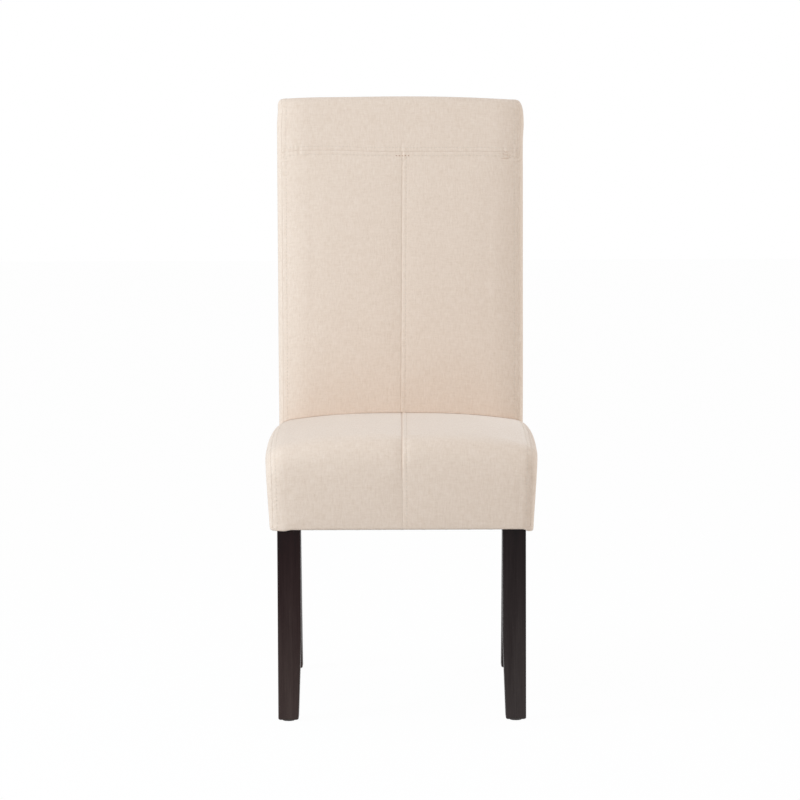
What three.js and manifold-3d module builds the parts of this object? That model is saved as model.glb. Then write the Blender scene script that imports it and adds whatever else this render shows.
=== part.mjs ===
import * as THREE from "three";
import { mergeVertices } from "three/addons/utils/BufferGeometryUtils.js";
import Module from "manifold-3d";

const wasm = await Module();
wasm.setup();

// An upholstered dining chair with a tall back and dark square legs. Sizes are in millimetres.
// X runs to the right and Y to the rear, both as seen from the front, and Z runs up from the
// floor. While the pieces are made, Y is counted from the seat's front face.

// The whole chair
const CHAIR_HEIGHT = 1080;
const FIT_GAP = 0.3;
const COVER_THICKNESS = 2.5;
const CUT_OVERRUN = 6;
const ROUND_SIDES = 12;
const MERGE_DISTANCE = 0.001;

// The seat's outer form
const SEAT_WIDTH = 470;
const SEAT_DEPTH = 472;
const SEAT_HEIGHT = 502;
const SEAT_THICKNESS = 169;
const SEAT_WIDEST_DROP = 46;
const SEAT_SIDE_TAPER = 8;
const SEAT_PLAN_DRAW = 2;
const SEAT_FRONT_DRAW = 4;
const SEAT_FRONT_RADIUS = 45;
const SEAT_REAR_RADIUS = 14;
const SEAT_SIDE_RADIUS = 22;
const SEAT_PEAK_Y = 280;
const SEAT_FRONT_FALL = 15;
const SEAT_REAR_FALL = 5;
const SEAT_SIDE_FALL = 17.6;
const SEAT_SIDE_FALL_POWER = 2.6;

// The back's outer form
const BACK_TOP_NARROWING = 9;
const BACK_LOWER_NARROWING = 23;
const BACK_BUILD_UP = 35;
const BACK_CORNER_RADIUS = 12;
const BACK_TOP_FALL = 6;
const BACK_TOP_FRONT_RADIUS = 16;
const BACK_TOP_REAR_RADIUS = 9;
const BACK_SHOULDER_WIDTH = 42;
const BACK_SHOULDER_DROP = 9;
const BACK_PUFF = 5;
const YOKE_HEIGHT = 103;

// Seams in the covers
const SEAM_DEPTH = 1.6;
const SEAM_HALF_WIDTH = 4;
const SEAT_SIDE_SEAM_TOP_INSET = 8;
const SEAT_SIDE_SEAM_LOWER_INSET = 6;
const BACK_SIDE_SEAM_INSET = 9;
const BACK_REAR_SEAM_INSET = 9;
const FOLD_UNDER = 25;

// Front legs
const LEG_WIDTH = 40;
const LEG_SIDE_INSET = 13;
const LEG_FRONT_INSET = 12;
const LEG_TAPER = 5;
const LEG_TAPER_HEIGHT = 140;
const LEG_CHAMFER = 1.5;
const FOOT_CHAMFER = 2;

// Rear posts
const POST_WIDTH = 30;
const POST_LEG_STEP = 4;
const POST_DEPTH = 50;
const POST_FOOT_DEPTH = 38;
const POST_TOP_DEPTH = 38;
const POST_TOP_PADDING = 14;
const POST_LEAN = 137;
const LEAN_ABOVE_RAILS = 38.2;
const LEAN_BLEND = 160;
const POST_KICK = 106;
const KICK_BELOW_RAIL_TOP = 1.8;
const KICK_BLEND = 90;
const BEND_STEPS = 4;

// Rails
const RAIL_HEIGHT = 66;
const RAIL_THICKNESS = 22;
const RAIL_REVEAL = 2;
const BACK_BOTTOM_RAIL_THICKNESS = 28;
const BACK_TOP_RAIL_HEIGHT = 56;
const TENON_THICKNESS = 9;
const TENON_SHOULDER = 8;
const LEG_TENON_LENGTH = 16;
const REAR_TENON_LENGTH = 10;

// Corner blocks and their screws
const BLOCK_LEG = 62;
const BLOCK_HEIGHT = 44;
const BLOCK_CHAMFER = 6;
const BLOCK_FLOOR = 10;
const BLOCK_SCREW_OFFSET = 44;
const SCREW_HEAD_RADIUS = 4.5;
const SCREW_HEAD_HEIGHT = 3;
const SCREW_RADIUS = 2.1;
const SCREW_LENGTH = 25;
const SCREW_TIP = 4;
const POCKET_RADIUS = 6;
const POCKET_LENGTH = 60;

// Bolts and T-nuts
const BOLT_BLOCK_CLEARANCE = 3.7;
const BOLT_RISE = 18;
const BOLT_RADIUS = 4;
const BOLT_SHANK = 58;
const BOLT_HEAD_RADIUS = 7.5;
const BOLT_HEAD_HEIGHT = 5.5;
const BOLT_HEAD_SIDES = 6;
const BOLT_FLANGE_RADIUS = 9;
const BOLT_FLANGE_THICKNESS = 1.6;
const TNUT_FLANGE_RADIUS = 10;
const TNUT_FLANGE_THICKNESS = 1.5;
const TNUT_BARREL_RADIUS = 5.2;
const TNUT_BARREL_LENGTH = 9;

// Glides
const GLIDE_RADIUS = 11;
const GLIDE_EDGE = 0.6;
const GLIDE_THICKNESS = 2.5;
const NAIL_RADIUS = 1.6;
const NAIL_LENGTH = 17;
const NAIL_TIP = 3;

// Straps
const STRAP_WIDTH = 50;
const STRAP_THICKNESS = 2;
const STRAP_HOLD = 17;
const STRAP_FLAT = 3;
const STRAP_SIDE_INSET = 80;
const STRAP_FRONT_INSET = 134;
const STRAP_REAR_INSET = 127.2;
const BACK_STRAP_RISE = 148;
const BACK_STRAP_TOP_INSET = 100;
const BACK_STRAP_SPACING = 130;
const BACK_STRAP_END_INSET = 4;

// Dust cover
const DUST_THICKNESS = 1;
const DUST_INSET = 12;
const DUST_LEG_CLEARANCE = 1;

// Places that the sizes above give
const SEAT_LOWER_EDGE = SEAT_HEIGHT - SEAT_THICKNESS;
const SEAT_WIDEST_LEVEL = SEAT_HEIGHT - SEAT_WIDEST_DROP;
const BACK_TOP_WIDTH = SEAT_WIDTH - BACK_TOP_NARROWING;
const BACK_LOWER_WIDTH = SEAT_WIDTH - BACK_LOWER_NARROWING;
const YOKE_SEAM_LEVEL = CHAIR_HEIGHT - YOKE_HEIGHT;
const RAIL_BOTTOM = SEAT_LOWER_EDGE + COVER_THICKNESS + FIT_GAP;
const RAIL_TOP = RAIL_BOTTOM + RAIL_HEIGHT;
const RAIL_MIDDLE = (RAIL_BOTTOM + RAIL_TOP) / 2;
const WEAVE_RISE = (STRAP_THICKNESS + FIT_GAP) / 2;
const STRAP_LEVEL = RAIL_TOP + FIT_GAP + STRAP_THICKNESS / 2;
const FOAM_BASE = STRAP_LEVEL + STRAP_THICKNESS / 2 + WEAVE_RISE + FIT_GAP;
const FOOT_LEVEL = GLIDE_THICKNESS + FIT_GAP;
const LEG_OUTER_X = SEAT_WIDTH / 2 - SEAT_SIDE_TAPER - LEG_SIDE_INSET;
const LEG_INNER_X = LEG_OUTER_X - LEG_WIDTH;
const LEG_REAR_Y = LEG_FRONT_INSET + LEG_WIDTH;
const SIDE_RAIL_OUTER_X = LEG_OUTER_X - RAIL_REVEAL;
const SIDE_RAIL_INNER_X = SIDE_RAIL_OUTER_X - RAIL_THICKNESS;
const FRONT_RAIL_Y = LEG_FRONT_INSET + RAIL_REVEAL;
const FRONT_RAIL_INNER_Y = FRONT_RAIL_Y + RAIL_THICKNESS;
const SEAT_FRAME_REAR_Y = SEAT_DEPTH - COVER_THICKNESS - FIT_GAP;
const REAR_RAIL_INNER_Y = SEAT_FRAME_REAR_Y - RAIL_THICKNESS;
const BACK_RAIL_Y = SEAT_FRAME_REAR_Y + FIT_GAP;
const BACK_RAIL_REAR_Y = BACK_RAIL_Y + BACK_BOTTOM_RAIL_THICKNESS;
const POST_FRONT_Y = SEAT_DEPTH + FIT_GAP;
const POST_OUTER_X = LEG_OUTER_X + POST_LEG_STEP;
const POST_INNER_X = POST_OUTER_X - POST_WIDTH;
const POST_TOP_LEVEL = CHAIR_HEIGHT - POST_TOP_PADDING;
const LEAN_START = RAIL_TOP + LEAN_ABOVE_RAILS;
const KICK_START = RAIL_TOP - KICK_BELOW_RAIL_TOP;
const BLOCK_END_X = SIDE_RAIL_INNER_X - FIT_GAP - BLOCK_LEG;
const BOLT_X = BLOCK_END_X - BOLT_BLOCK_CLEARANCE - BOLT_FLANGE_RADIUS;
const FILLING_INSET = COVER_THICKNESS + FIT_GAP;
const SIDES = { left: -1, right: 1 };

// How far a line has left the upright, a given run past the start of its blended bend
function bentBy(run, blend, slope) {
  if (run <= 0) {
    return 0;
  }
  return run < blend ? slope * run * run / (2 * blend) : slope * (run - blend / 2);
}

const LEAN_SLOPE = POST_LEAN / (POST_TOP_LEVEL - LEAN_START - LEAN_BLEND / 2);
const KICK_SLOPE = POST_KICK / (KICK_START - FOOT_LEVEL - KICK_BLEND / 2);

// The levels at which the posts, and all that lies on them, change direction
function bendLevels() {
  const levels = [];
  for (let step = BEND_STEPS; step >= 0; step -= 1) {
    levels.push(KICK_START - KICK_BLEND * step / BEND_STEPS);
  }
  for (let step = 0; step <= BEND_STEPS; step += 1) {
    levels.push(LEAN_START + LEAN_BLEND * step / BEND_STEPS);
  }
  return levels;
}

const BEND_LEVELS = bendLevels();

// The posts' front face, in straight runs between the bend levels
function postFront(z) {
  const exact = (level) => POST_FRONT_Y
    + bentBy(level - LEAN_START, LEAN_BLEND, LEAN_SLOPE)
    + bentBy(KICK_START - level, KICK_BLEND, KICK_SLOPE);
  for (let i = 0; i < BEND_LEVELS.length - 1; i += 1) {
    const low = BEND_LEVELS[i];
    const high = BEND_LEVELS[i + 1];
    if (z > low && z < high) {
      return THREE.MathUtils.mapLinear(z, low, high, exact(low), exact(high));
    }
  }
  return exact(z);
}

function postDepth(z) {
  if (z > LEAN_START) {
    return THREE.MathUtils.mapLinear(z, LEAN_START, POST_TOP_LEVEL, POST_DEPTH, POST_TOP_DEPTH);
  }
  if (z < KICK_START) {
    return THREE.MathUtils.mapLinear(z, FOOT_LEVEL, KICK_START, POST_FOOT_DEPTH, POST_DEPTH);
  }
  return POST_DEPTH;
}

// Merges shared corners, drops triangles that close up, and turns the faces outwards
function tidied(geometry) {
  const bare = geometry.clone();
  bare.deleteAttribute("normal");
  bare.deleteAttribute("uv");
  const merged = mergeVertices(bare, MERGE_DISTANCE);
  const at = (i) => new THREE.Vector3().fromBufferAttribute(merged.attributes.position, i);
  const kept = [];
  let volume = 0;
  for (let i = 0; i < merged.index.count; i += 3) {
    const [a, b, c] = [0, 1, 2].map((corner) => merged.index.getX(i + corner));
    if (a !== b && b !== c && c !== a) {
      kept.push([a, b, c]);
      volume += at(a).dot(at(b).cross(at(c)));
    }
  }
  merged.setIndex(kept.flatMap(([a, b, c]) => (volume > 0 ? [a, b, c] : [a, c, b])));
  return merged;
}

function solid(geometry) {
  const merged = tidied(geometry);
  return new wasm.Manifold(new wasm.Mesh({
    numProp: 3,
    vertProperties: Float32Array.from(merged.attributes.position.array),
    triVerts: Uint32Array.from(merged.index.array),
  }));
}

function geometryOf(body) {
  const cut = body.getMesh();
  const geometry = new THREE.BufferGeometry();
  geometry.setAttribute("position", new THREE.Float32BufferAttribute(cut.vertProperties, 3));
  geometry.setIndex(new THREE.Uint32BufferAttribute(cut.triVerts, 1));
  geometry.computeVertexNormals();
  return geometry;
}

// Triangles that close a loop: two chains run from its closing edge, joined by short diagonals
function capTriangles(loop) {
  const triangles = [];
  let i = 0;
  let j = loop.length - 1;
  while (j - i > 1) {
    if (loop[i + 1].distanceTo(loop[j]) < loop[i].distanceTo(loop[j - 1])) {
      triangles.push([i, i + 1, j]);
      i += 1;
    } else {
      triangles.push([i, j - 1, j]);
      j -= 1;
    }
  }
  return triangles;
}

// A closed solid through loops of equal length, with a cap on the first and the last
function loft(loops) {
  const count = loops[0].length;
  const indices = [];
  for (let ring = 0; ring < loops.length - 1; ring += 1) {
    for (let i = 0; i < count; i += 1) {
      const a = ring * count + i;
      const b = ring * count + (i + 1) % count;
      indices.push(a, b, b + count, a, b + count, a + count);
    }
  }
  const last = count * (loops.length - 1);
  capTriangles(loops[0]).forEach(([a, b, c]) => indices.push(a, c, b));
  capTriangles(loops[loops.length - 1]).forEach(([a, b, c]) => indices.push(a + last, b + last, c + last));
  const geometry = new THREE.BufferGeometry();
  const positions = loops.flat().flatMap((point) => [point.x, point.y, point.z]);
  geometry.setAttribute("position", new THREE.Float32BufferAttribute(positions, 3));
  geometry.setIndex(indices);
  return solid(geometry);
}

// A box between two values on each axis, with a margin on every face
function box(x, y, z, margin = 0) {
  const size = [x, y, z].map(([low, high]) => Math.abs(high - low) + 2 * margin);
  const middle = [x, y, z].map(([low, high]) => (low + high) / 2);
  return solid(new THREE.BoxGeometry(...size).translate(...middle));
}

// An outline on two axes, run between two values on the third
const RUNS = {
  x: (a, b, run) => [run, a, b],
  y: (a, b, run) => [a, run, b],
  z: (a, b, run) => [a, b, run],
};

function prism(outline, along, from, to) {
  const shape = new THREE.Shape(outline.map(([a, b]) => new THREE.Vector2(a, b)));
  const geometry = new THREE.ExtrudeGeometry(shape, { depth: to - from, bevelEnabled: false });
  const position = geometry.attributes.position;
  for (let i = 0; i < position.count; i += 1) {
    const place = RUNS[along](position.getX(i), position.getY(i), position.getZ(i) + from);
    position.setXYZ(i, ...place);
  }
  return solid(geometry);
}

// Cylinders and turned bodies are made about their own Y axis
const CYLINDER_AXIS = new THREE.Vector3(0, 1, 0);

// A round bar between two points
function bar(start, end, radius) {
  const geometry = new THREE.CylinderGeometry(radius, radius, start.distanceTo(end), ROUND_SIDES);
  const direction = end.clone().sub(start).normalize();
  geometry.applyQuaternion(new THREE.Quaternion().setFromUnitVectors(CYLINDER_AXIS, direction));
  const middle = start.clone().add(end).divideScalar(2);
  return solid(geometry.translate(middle.x, middle.y, middle.z));
}

// A turned body about its own Y axis, through points of radius and height
function turned(profile) {
  const points = profile.map(([radius, height]) => new THREE.Vector2(radius, height));
  return solid(new THREE.LatheGeometry(points, ROUND_SIDES));
}

function mirrored(body) {
  return solid(geometryOf(body).scale(-1, 1, 1));
}

function without(body, ...cutters) {
  return cutters.reduce((rest, cutter) => rest.subtract(cutter), body);
}

// How far an edge of this radius has drawn back, at a distance from the side
function edgeDrop(distance, radius) {
  if (distance >= radius) {
    return 0;
  }
  return radius - Math.sqrt(radius * radius - (radius - distance) ** 2);
}

// Angles of a quarter round, in equal steps
function quarter(steps) {
  return Array.from({ length: steps + 1 }, (unused, step) => Math.PI / 2 * step / steps);
}

// Stations from one side of a form to the other: close together round its edge and its seam
function stations(halfWidth, edgeDistances, middleShares, seamHalfWidth) {
  const side = [
    ...edgeDistances.map((distance) => halfWidth - distance),
    ...middleShares.map((share) => halfWidth * share),
    ...(seamHalfWidth > 0 ? [seamHalfWidth] : []),
  ];
  const rightToMiddle = side.map((x) => ({ x, distance: halfWidth - x }));
  const leftFromMiddle = [...rightToMiddle].reverse().map(({ x, distance }) => ({ x: -x, distance }));
  return [...rightToMiddle, { x: 0, distance: halfWidth }, ...leftFromMiddle];
}

const EDGE_SHARES = [0, 0.12, 0.45, 1];

function seatCrown(x, y) {
  const sideFall = SEAT_SIDE_FALL * Math.abs(2 * x / SEAT_WIDTH) ** SEAT_SIDE_FALL_POWER;
  const frontFall = SEAT_FRONT_FALL * Math.max(0, 1 - y / SEAT_PEAK_Y) ** 2;
  const rearFall = SEAT_REAR_FALL * Math.max(0, (y - SEAT_PEAK_Y) / (SEAT_DEPTH - SEAT_PEAK_Y)) ** 2;
  return SEAT_HEIGHT - sideFall - frontFall - rearFall;
}

// The sides draw in towards the lower edge, and a little towards the front and rear corners
function seatDrawn(x, y, z) {
  const height = SEAT_WIDEST_LEVEL - SEAT_LOWER_EDGE;
  const low = SEAT_SIDE_TAPER * Math.max(0, SEAT_WIDEST_LEVEL - z) / height;
  const plan = SEAT_PLAN_DRAW * (2 * y / SEAT_DEPTH - 1) ** 2;
  return new THREE.Vector3(x * (1 - 2 * (low + plan) / SEAT_WIDTH), y, z);
}

const SEAT_WALL_SHARES = [0, 0.3, 0.6, 1];
const SEAT_TOP_SHARES = [0.2, 0.45, 0.7];
const SEAT_FRONT_ARC_STEPS = 4;
const SEAT_REAR_ARC_STEPS = 2;

function seatLoop(x, distance, inset, sewn) {
  const seamDepth = sewn && x === 0 ? SEAM_DEPTH : 0;
  const drop = edgeDrop(distance, SEAT_SIDE_RADIUS - inset) + inset + seamDepth;
  const frontRadius = SEAT_FRONT_RADIUS - inset;
  const rearRadius = SEAT_REAR_RADIUS - inset;
  const bottom = SEAT_LOWER_EDGE + inset;
  const rear = SEAT_DEPTH - inset;
  const top = (y) => seatCrown(x, y) - drop;
  const frontCentre = [drop + frontRadius, top(drop + frontRadius) - frontRadius];
  const rearCentre = [rear - rearRadius, top(rear - rearRadius) - rearRadius];
  const wall = SEAT_WALL_SHARES.map((share) => [
    drop + SEAT_FRONT_DRAW * (1 - share) ** 2,
    THREE.MathUtils.lerp(bottom, frontCentre[1], share),
  ]);
  const frontArc = quarter(SEAT_FRONT_ARC_STEPS).slice(1).map((angle) => [
    frontCentre[0] - frontRadius * Math.cos(angle),
    frontCentre[1] + frontRadius * Math.sin(angle),
  ]);
  const crown = SEAT_TOP_SHARES.map((share) => {
    const y = THREE.MathUtils.lerp(frontCentre[0], rearCentre[0], share);
    return [y, top(y)];
  });
  const rearArc = quarter(SEAT_REAR_ARC_STEPS).map((angle) => [
    rearCentre[0] + rearRadius * Math.sin(angle),
    rearCentre[1] + rearRadius * Math.cos(angle),
  ]);
  const outline = [...wall, ...frontArc, ...crown, ...rearArc, [rear, bottom]];
  return outline.map(([y, z]) => seatDrawn(x, y, z));
}

const SEAT_MIDDLE_SHARES = [0.78, 0.55, 0.28];

// The seat's outer form, drawn in all round by an inset, with or without its sewn valley
function seatForm(inset, sewn) {
  const halfWidth = SEAT_WIDTH / 2 - inset;
  const edges = EDGE_SHARES.map((share) => share * (SEAT_SIDE_RADIUS - inset));
  const places = stations(halfWidth, edges, SEAT_MIDDLE_SHARES, sewn ? SEAM_HALF_WIDTH : 0);
  return loft(places.map(({ x, distance }) => seatLoop(x, distance, inset, sewn)));
}

// The back narrows evenly from its top to its lower edge
function backDrawn(x, y, z) {
  const climb = (z - SEAT_LOWER_EDGE) / (CHAIR_HEIGHT - SEAT_LOWER_EDGE);
  const width = THREE.MathUtils.lerp(BACK_LOWER_WIDTH, BACK_TOP_WIDTH, climb);
  return new THREE.Vector3(x * width / BACK_TOP_WIDTH, y, z);
}

const BACK_PUFF_SHARES = [0.25, 0.5, 0.75];
const BACK_TOP_ARC_STEPS = 3;

function backOuterRear(z) {
  return postFront(z) + postDepth(z) + FIT_GAP + COVER_THICKNESS;
}

// How far the inside back swells out between the seat and the yoke seam
function backPuff(z, distance) {
  const share = THREE.MathUtils.mapLinear(z, SEAT_HEIGHT, YOKE_SEAM_LEVEL, 0, 1);
  if (share < 0 || share > 1) {
    return 0;
  }
  return BACK_PUFF * Math.sin(Math.PI * share) * Math.min(1, distance / BACK_SHOULDER_WIDTH);
}

function backLoop(x, distance, inset, sewn) {
  const drop = edgeDrop(distance, BACK_CORNER_RADIUS - inset) + inset;
  const shoulder = BACK_SHOULDER_DROP * Math.max(0, 1 - (distance + inset) / BACK_SHOULDER_WIDTH) ** 2;
  const crest = CHAIR_HEIGHT - BACK_TOP_FALL * (2 * x / BACK_TOP_WIDTH) ** 2 - drop;
  const bottom = SEAT_LOWER_EDGE + inset;
  const seamDepth = (z) => {
    const onMiddleSeam = x === 0 && z < YOKE_SEAM_LEVEL;
    return sewn && (onMiddleSeam || z === YOKE_SEAM_LEVEL) ? SEAM_DEPTH : 0;
  };
  const front = (z) => (
    postFront(z) - BACK_BUILD_UP - backPuff(z, distance) + shoulder + drop + seamDepth(z)
  );
  const rear = (z) => backOuterRear(z) - drop;
  const bends = BEND_LEVELS.filter((level) => level > bottom);
  const lastBend = bends[bends.length - 1];
  const puffs = BACK_PUFF_SHARES.map((share) => THREE.MathUtils.lerp(lastBend, YOKE_SEAM_LEVEL, share));
  const valley = [YOKE_SEAM_LEVEL - SEAM_HALF_WIDTH, YOKE_SEAM_LEVEL, YOKE_SEAM_LEVEL + SEAM_HALF_WIDTH];
  const climb = [bottom, ...bends, ...puffs, ...valley].map((z) => [front(z), z]);
  const frontArc = quarter(BACK_TOP_ARC_STEPS).map((angle) => {
    const z = crest - BACK_TOP_FRONT_RADIUS * (1 - Math.sin(angle));
    return [front(z) + BACK_TOP_FRONT_RADIUS * (1 - Math.cos(angle)), z];
  });
  const rearArc = quarter(BACK_TOP_ARC_STEPS).reverse().map((angle) => {
    const z = crest - BACK_TOP_REAR_RADIUS * (1 - Math.sin(angle));
    return [rear(z) - BACK_TOP_REAR_RADIUS * (1 - Math.cos(angle)), z];
  });
  const fall = [...bends].reverse().map((z) => [rear(z), z]);
  const outline = [...climb, ...frontArc, ...rearArc, ...fall, [rear(bottom), bottom]];
  return outline.map(([y, z]) => backDrawn(x, y, z));
}

const BACK_MIDDLE_SHARES = [0.6, 0.3];
const BACK_SHOULDER_SHARES = [0.62, 1];

function backForm(inset, sewn) {
  const halfWidth = BACK_TOP_WIDTH / 2 - inset;
  const edges = [
    ...EDGE_SHARES.map((share) => share * (BACK_CORNER_RADIUS - inset)),
    ...BACK_SHOULDER_SHARES.map((share) => share * BACK_SHOULDER_WIDTH),
  ];
  const places = stations(halfWidth, edges, BACK_MIDDLE_SHARES, sewn ? SEAM_HALF_WIDTH : 0);
  return loft(places.map(({ x, distance }) => backLoop(x, distance, inset, sewn)));
}

// A rectangle with cut corners at one level, the section of a leg or a post, drawn in by an inset
function legSection(x, y, z, inset = 0) {
  const corner = LEG_CHAMFER;
  const [left, right] = [x[0] + inset, x[1] - inset];
  const [front, rear] = [y[0] + inset, y[1] - inset];
  return [
    [left + corner, front], [right - corner, front], [right, front + corner], [right, rear - corner],
    [right - corner, rear], [left + corner, rear], [left, rear - corner], [left, front + corner],
  ].map(([px, py]) => new THREE.Vector3(px, py, z));
}

// The tenons of the seat rails, as spans on X, Y and Z on the right-hand side
const TENON_SPAN_Z = [RAIL_BOTTOM + TENON_SHOULDER, RAIL_TOP - TENON_SHOULDER];

function spanAbout(middle, size) {
  return [middle - size / 2, middle + size / 2];
}

const FRONT_TENON = [
  [LEG_INNER_X - CUT_OVERRUN, LEG_INNER_X + LEG_TENON_LENGTH],
  spanAbout(FRONT_RAIL_Y + RAIL_THICKNESS / 2, TENON_THICKNESS),
  TENON_SPAN_Z,
];
const SIDE_TENON = [
  spanAbout(SIDE_RAIL_INNER_X + RAIL_THICKNESS / 2, TENON_THICKNESS),
  [LEG_REAR_Y - LEG_TENON_LENGTH, LEG_REAR_Y + CUT_OVERRUN],
  TENON_SPAN_Z,
];
const REAR_TENON = [
  [SIDE_RAIL_INNER_X - CUT_OVERRUN, SIDE_RAIL_INNER_X + REAR_TENON_LENGTH],
  spanAbout(REAR_RAIL_INNER_Y + RAIL_THICKNESS / 2, TENON_THICKNESS),
  TENON_SPAN_Z,
];
const BACK_BOTTOM_TENON = [
  [POST_INNER_X - CUT_OVERRUN, POST_INNER_X + REAR_TENON_LENGTH],
  spanAbout(BACK_RAIL_Y + BACK_BOTTOM_RAIL_THICKNESS / 2, TENON_THICKNESS),
  TENON_SPAN_Z,
];

// The top rail's front face and its tenon follow the leaning posts
const TOP_RAIL_BOTTOM = POST_TOP_LEVEL - BACK_TOP_RAIL_HEIGHT;

function topRailBar(x, depth, shoulder) {
  const lean = (z) => postFront(z) + (RAIL_THICKNESS - depth) / 2;
  const [low, high] = [TOP_RAIL_BOTTOM + shoulder, POST_TOP_LEVEL - shoulder];
  const face = [[lean(low), low], [lean(high), high]];
  const rear = face.map(([y, z]) => [y + depth, z]).reverse();
  return prism([...face, ...rear], "x", ...x);
}

const TOP_TENON_X = [POST_INNER_X - CUT_OVERRUN, POST_INNER_X + REAR_TENON_LENGTH];

// The hole that a glide's nail goes up
function nailHole(x, y) {
  const foot = new THREE.Vector3(x, y, FOOT_LEVEL - CUT_OVERRUN);
  const end = new THREE.Vector3(x, y, FOOT_LEVEL + NAIL_LENGTH + NAIL_TIP + FIT_GAP);
  return bar(foot, end, NAIL_RADIUS + FIT_GAP);
}

const FRONT_GLIDE = {
  x: LEG_OUTER_X - (LEG_WIDTH - LEG_TAPER) / 2,
  y: LEG_FRONT_INSET + (LEG_WIDTH - LEG_TAPER) / 2,
};
const REAR_GLIDE = {
  x: POST_INNER_X + POST_WIDTH / 2,
  y: postFront(FOOT_LEVEL) + POST_FOOT_DEPTH / 2,
};

// The right front leg: square, with its two inner faces tapered towards the foot
function frontLeg() {
  const section = (taper, z, inset) => legSection(
    [LEG_INNER_X + taper, LEG_OUTER_X],
    [LEG_FRONT_INSET, LEG_REAR_Y - taper],
    z,
    inset,
  );
  const leg = loft([
    section(LEG_TAPER, FOOT_LEVEL, FOOT_CHAMFER),
    section(LEG_TAPER, FOOT_LEVEL + FOOT_CHAMFER),
    section(0, LEG_TAPER_HEIGHT),
    section(0, RAIL_TOP),
  ]);
  return without(
    leg,
    box(...FRONT_TENON, FIT_GAP),
    box(...SIDE_TENON, FIT_GAP),
    nailHole(FRONT_GLIDE.x, FRONT_GLIDE.y),
  );
}

// The right rear post: leg and back stile in one piece
function rearPost() {
  const section = (z, inset) => legSection(
    [POST_INNER_X, POST_OUTER_X],
    [postFront(z), postFront(z) + postDepth(z)],
    z,
    inset,
  );
  const levels = [FOOT_LEVEL + FOOT_CHAMFER, ...BEND_LEVELS, POST_TOP_LEVEL];
  const post = loft([section(FOOT_LEVEL, FOOT_CHAMFER), ...levels.map((z) => section(z))]);
  const [tenonFrom, tenonTo] = TOP_TENON_X;
  const topMortise = topRailBar(
    [tenonFrom, tenonTo + FIT_GAP],
    TENON_THICKNESS + 2 * FIT_GAP,
    TENON_SHOULDER - FIT_GAP,
  );
  return without(
    post,
    box(...BACK_BOTTOM_TENON, FIT_GAP),
    topMortise,
    nailHole(REAR_GLIDE.x, REAR_GLIDE.y),
  );
}

// Where each corner block's two screws bear, and the way they point
function cornerPlace(end, side, a, b) {
  const x = SIDES[side] * (SIDE_RAIL_INNER_X - FIT_GAP - a);
  return end === "front"
    ? [x, FRONT_RAIL_INNER_Y + FIT_GAP + b]
    : [x, REAR_RAIL_INNER_Y - FIT_GAP - b];
}

function cornerScrews(end, side) {
  const outward = end === "front" ? -1 : 1;
  return {
    end: {
      seat: new THREE.Vector3(...cornerPlace(end, side, BLOCK_SCREW_OFFSET, BLOCK_FLOOR), RAIL_MIDDLE),
      way: new THREE.Vector3(0, outward, 0),
    },
    side: {
      seat: new THREE.Vector3(...cornerPlace(end, side, BLOCK_FLOOR, BLOCK_SCREW_OFFSET), RAIL_MIDDLE),
      way: new THREE.Vector3(SIDES[side], 0, 0),
    },
  };
}

function screwHole({ seat, way }) {
  const end = seat.clone().addScaledVector(way, SCREW_LENGTH + FIT_GAP);
  return bar(seat.clone().addScaledVector(way, -CUT_OVERRUN), end, SCREW_RADIUS + FIT_GAP);
}

function screwPocket({ seat, way }) {
  return bar(seat, seat.clone().addScaledVector(way, -POCKET_LENGTH), POCKET_RADIUS);
}

function screwHoles(ends, sides, run) {
  return ends.flatMap((end) => sides.map((side) => screwHole(cornerScrews(end, side)[run])));
}

// A front block is notched round the leg, a rear block has its corner cut off
function cornerBlock(end, side) {
  const legX = SIDE_RAIL_INNER_X - LEG_INNER_X;
  const legY = LEG_REAR_Y - FRONT_RAIL_INNER_Y;
  const corner = end === "front"
    ? [[0, legY], [legX, legY], [legX, 0]]
    : [[0, BLOCK_CHAMFER], [BLOCK_CHAMFER, 0]];
  const outline = [...corner, [BLOCK_LEG, 0], [0, BLOCK_LEG]];
  const places = outline.map(([a, b]) => cornerPlace(end, side, a, b));
  const block = prism(places, "z", ...spanAbout(RAIL_MIDDLE, BLOCK_HEIGHT));
  const screws = Object.values(cornerScrews(end, side));
  return without(block, ...screws.map(screwHole), ...screws.map(screwPocket));
}

function cornerScrew() {
  return turned([
    [0, -SCREW_HEAD_HEIGHT],
    [SCREW_HEAD_RADIUS, -SCREW_HEAD_HEIGHT],
    [SCREW_HEAD_RADIUS, 0],
    [SCREW_RADIUS, 0],
    [SCREW_RADIUS, SCREW_LENGTH - SCREW_TIP],
    [0, SCREW_LENGTH],
  ]);
}

const RAIL_SPAN_Z = [RAIL_BOTTOM, RAIL_TOP];

function seatRailFront() {
  const half = LEG_INNER_X - FIT_GAP;
  const rail = box([-half, half], [FRONT_RAIL_Y, FRONT_RAIL_INNER_Y], RAIL_SPAN_Z);
  const tenon = box(...FRONT_TENON);
  return without(rail.add(tenon).add(mirrored(tenon)), ...screwHoles(["front"], ["left", "right"], "end"));
}

function seatRailSide(side) {
  const x = [SIDE_RAIL_INNER_X, SIDE_RAIL_OUTER_X];
  const rail = box(x, [LEG_REAR_Y + FIT_GAP, SEAT_FRAME_REAR_Y], RAIL_SPAN_Z).add(box(...SIDE_TENON));
  const mortised = without(rail, box(...REAR_TENON, FIT_GAP));
  const placed = side === "left" ? mirrored(mortised) : mortised;
  return without(placed, ...screwHoles(["front", "rear"], [side], "side"));
}

function boltPlaces() {
  const levels = [RAIL_MIDDLE - BOLT_RISE, RAIL_MIDDLE + BOLT_RISE];
  return [-BOLT_X, BOLT_X].flatMap((x) => levels.map((z) => ({ x, z })));
}

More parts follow.
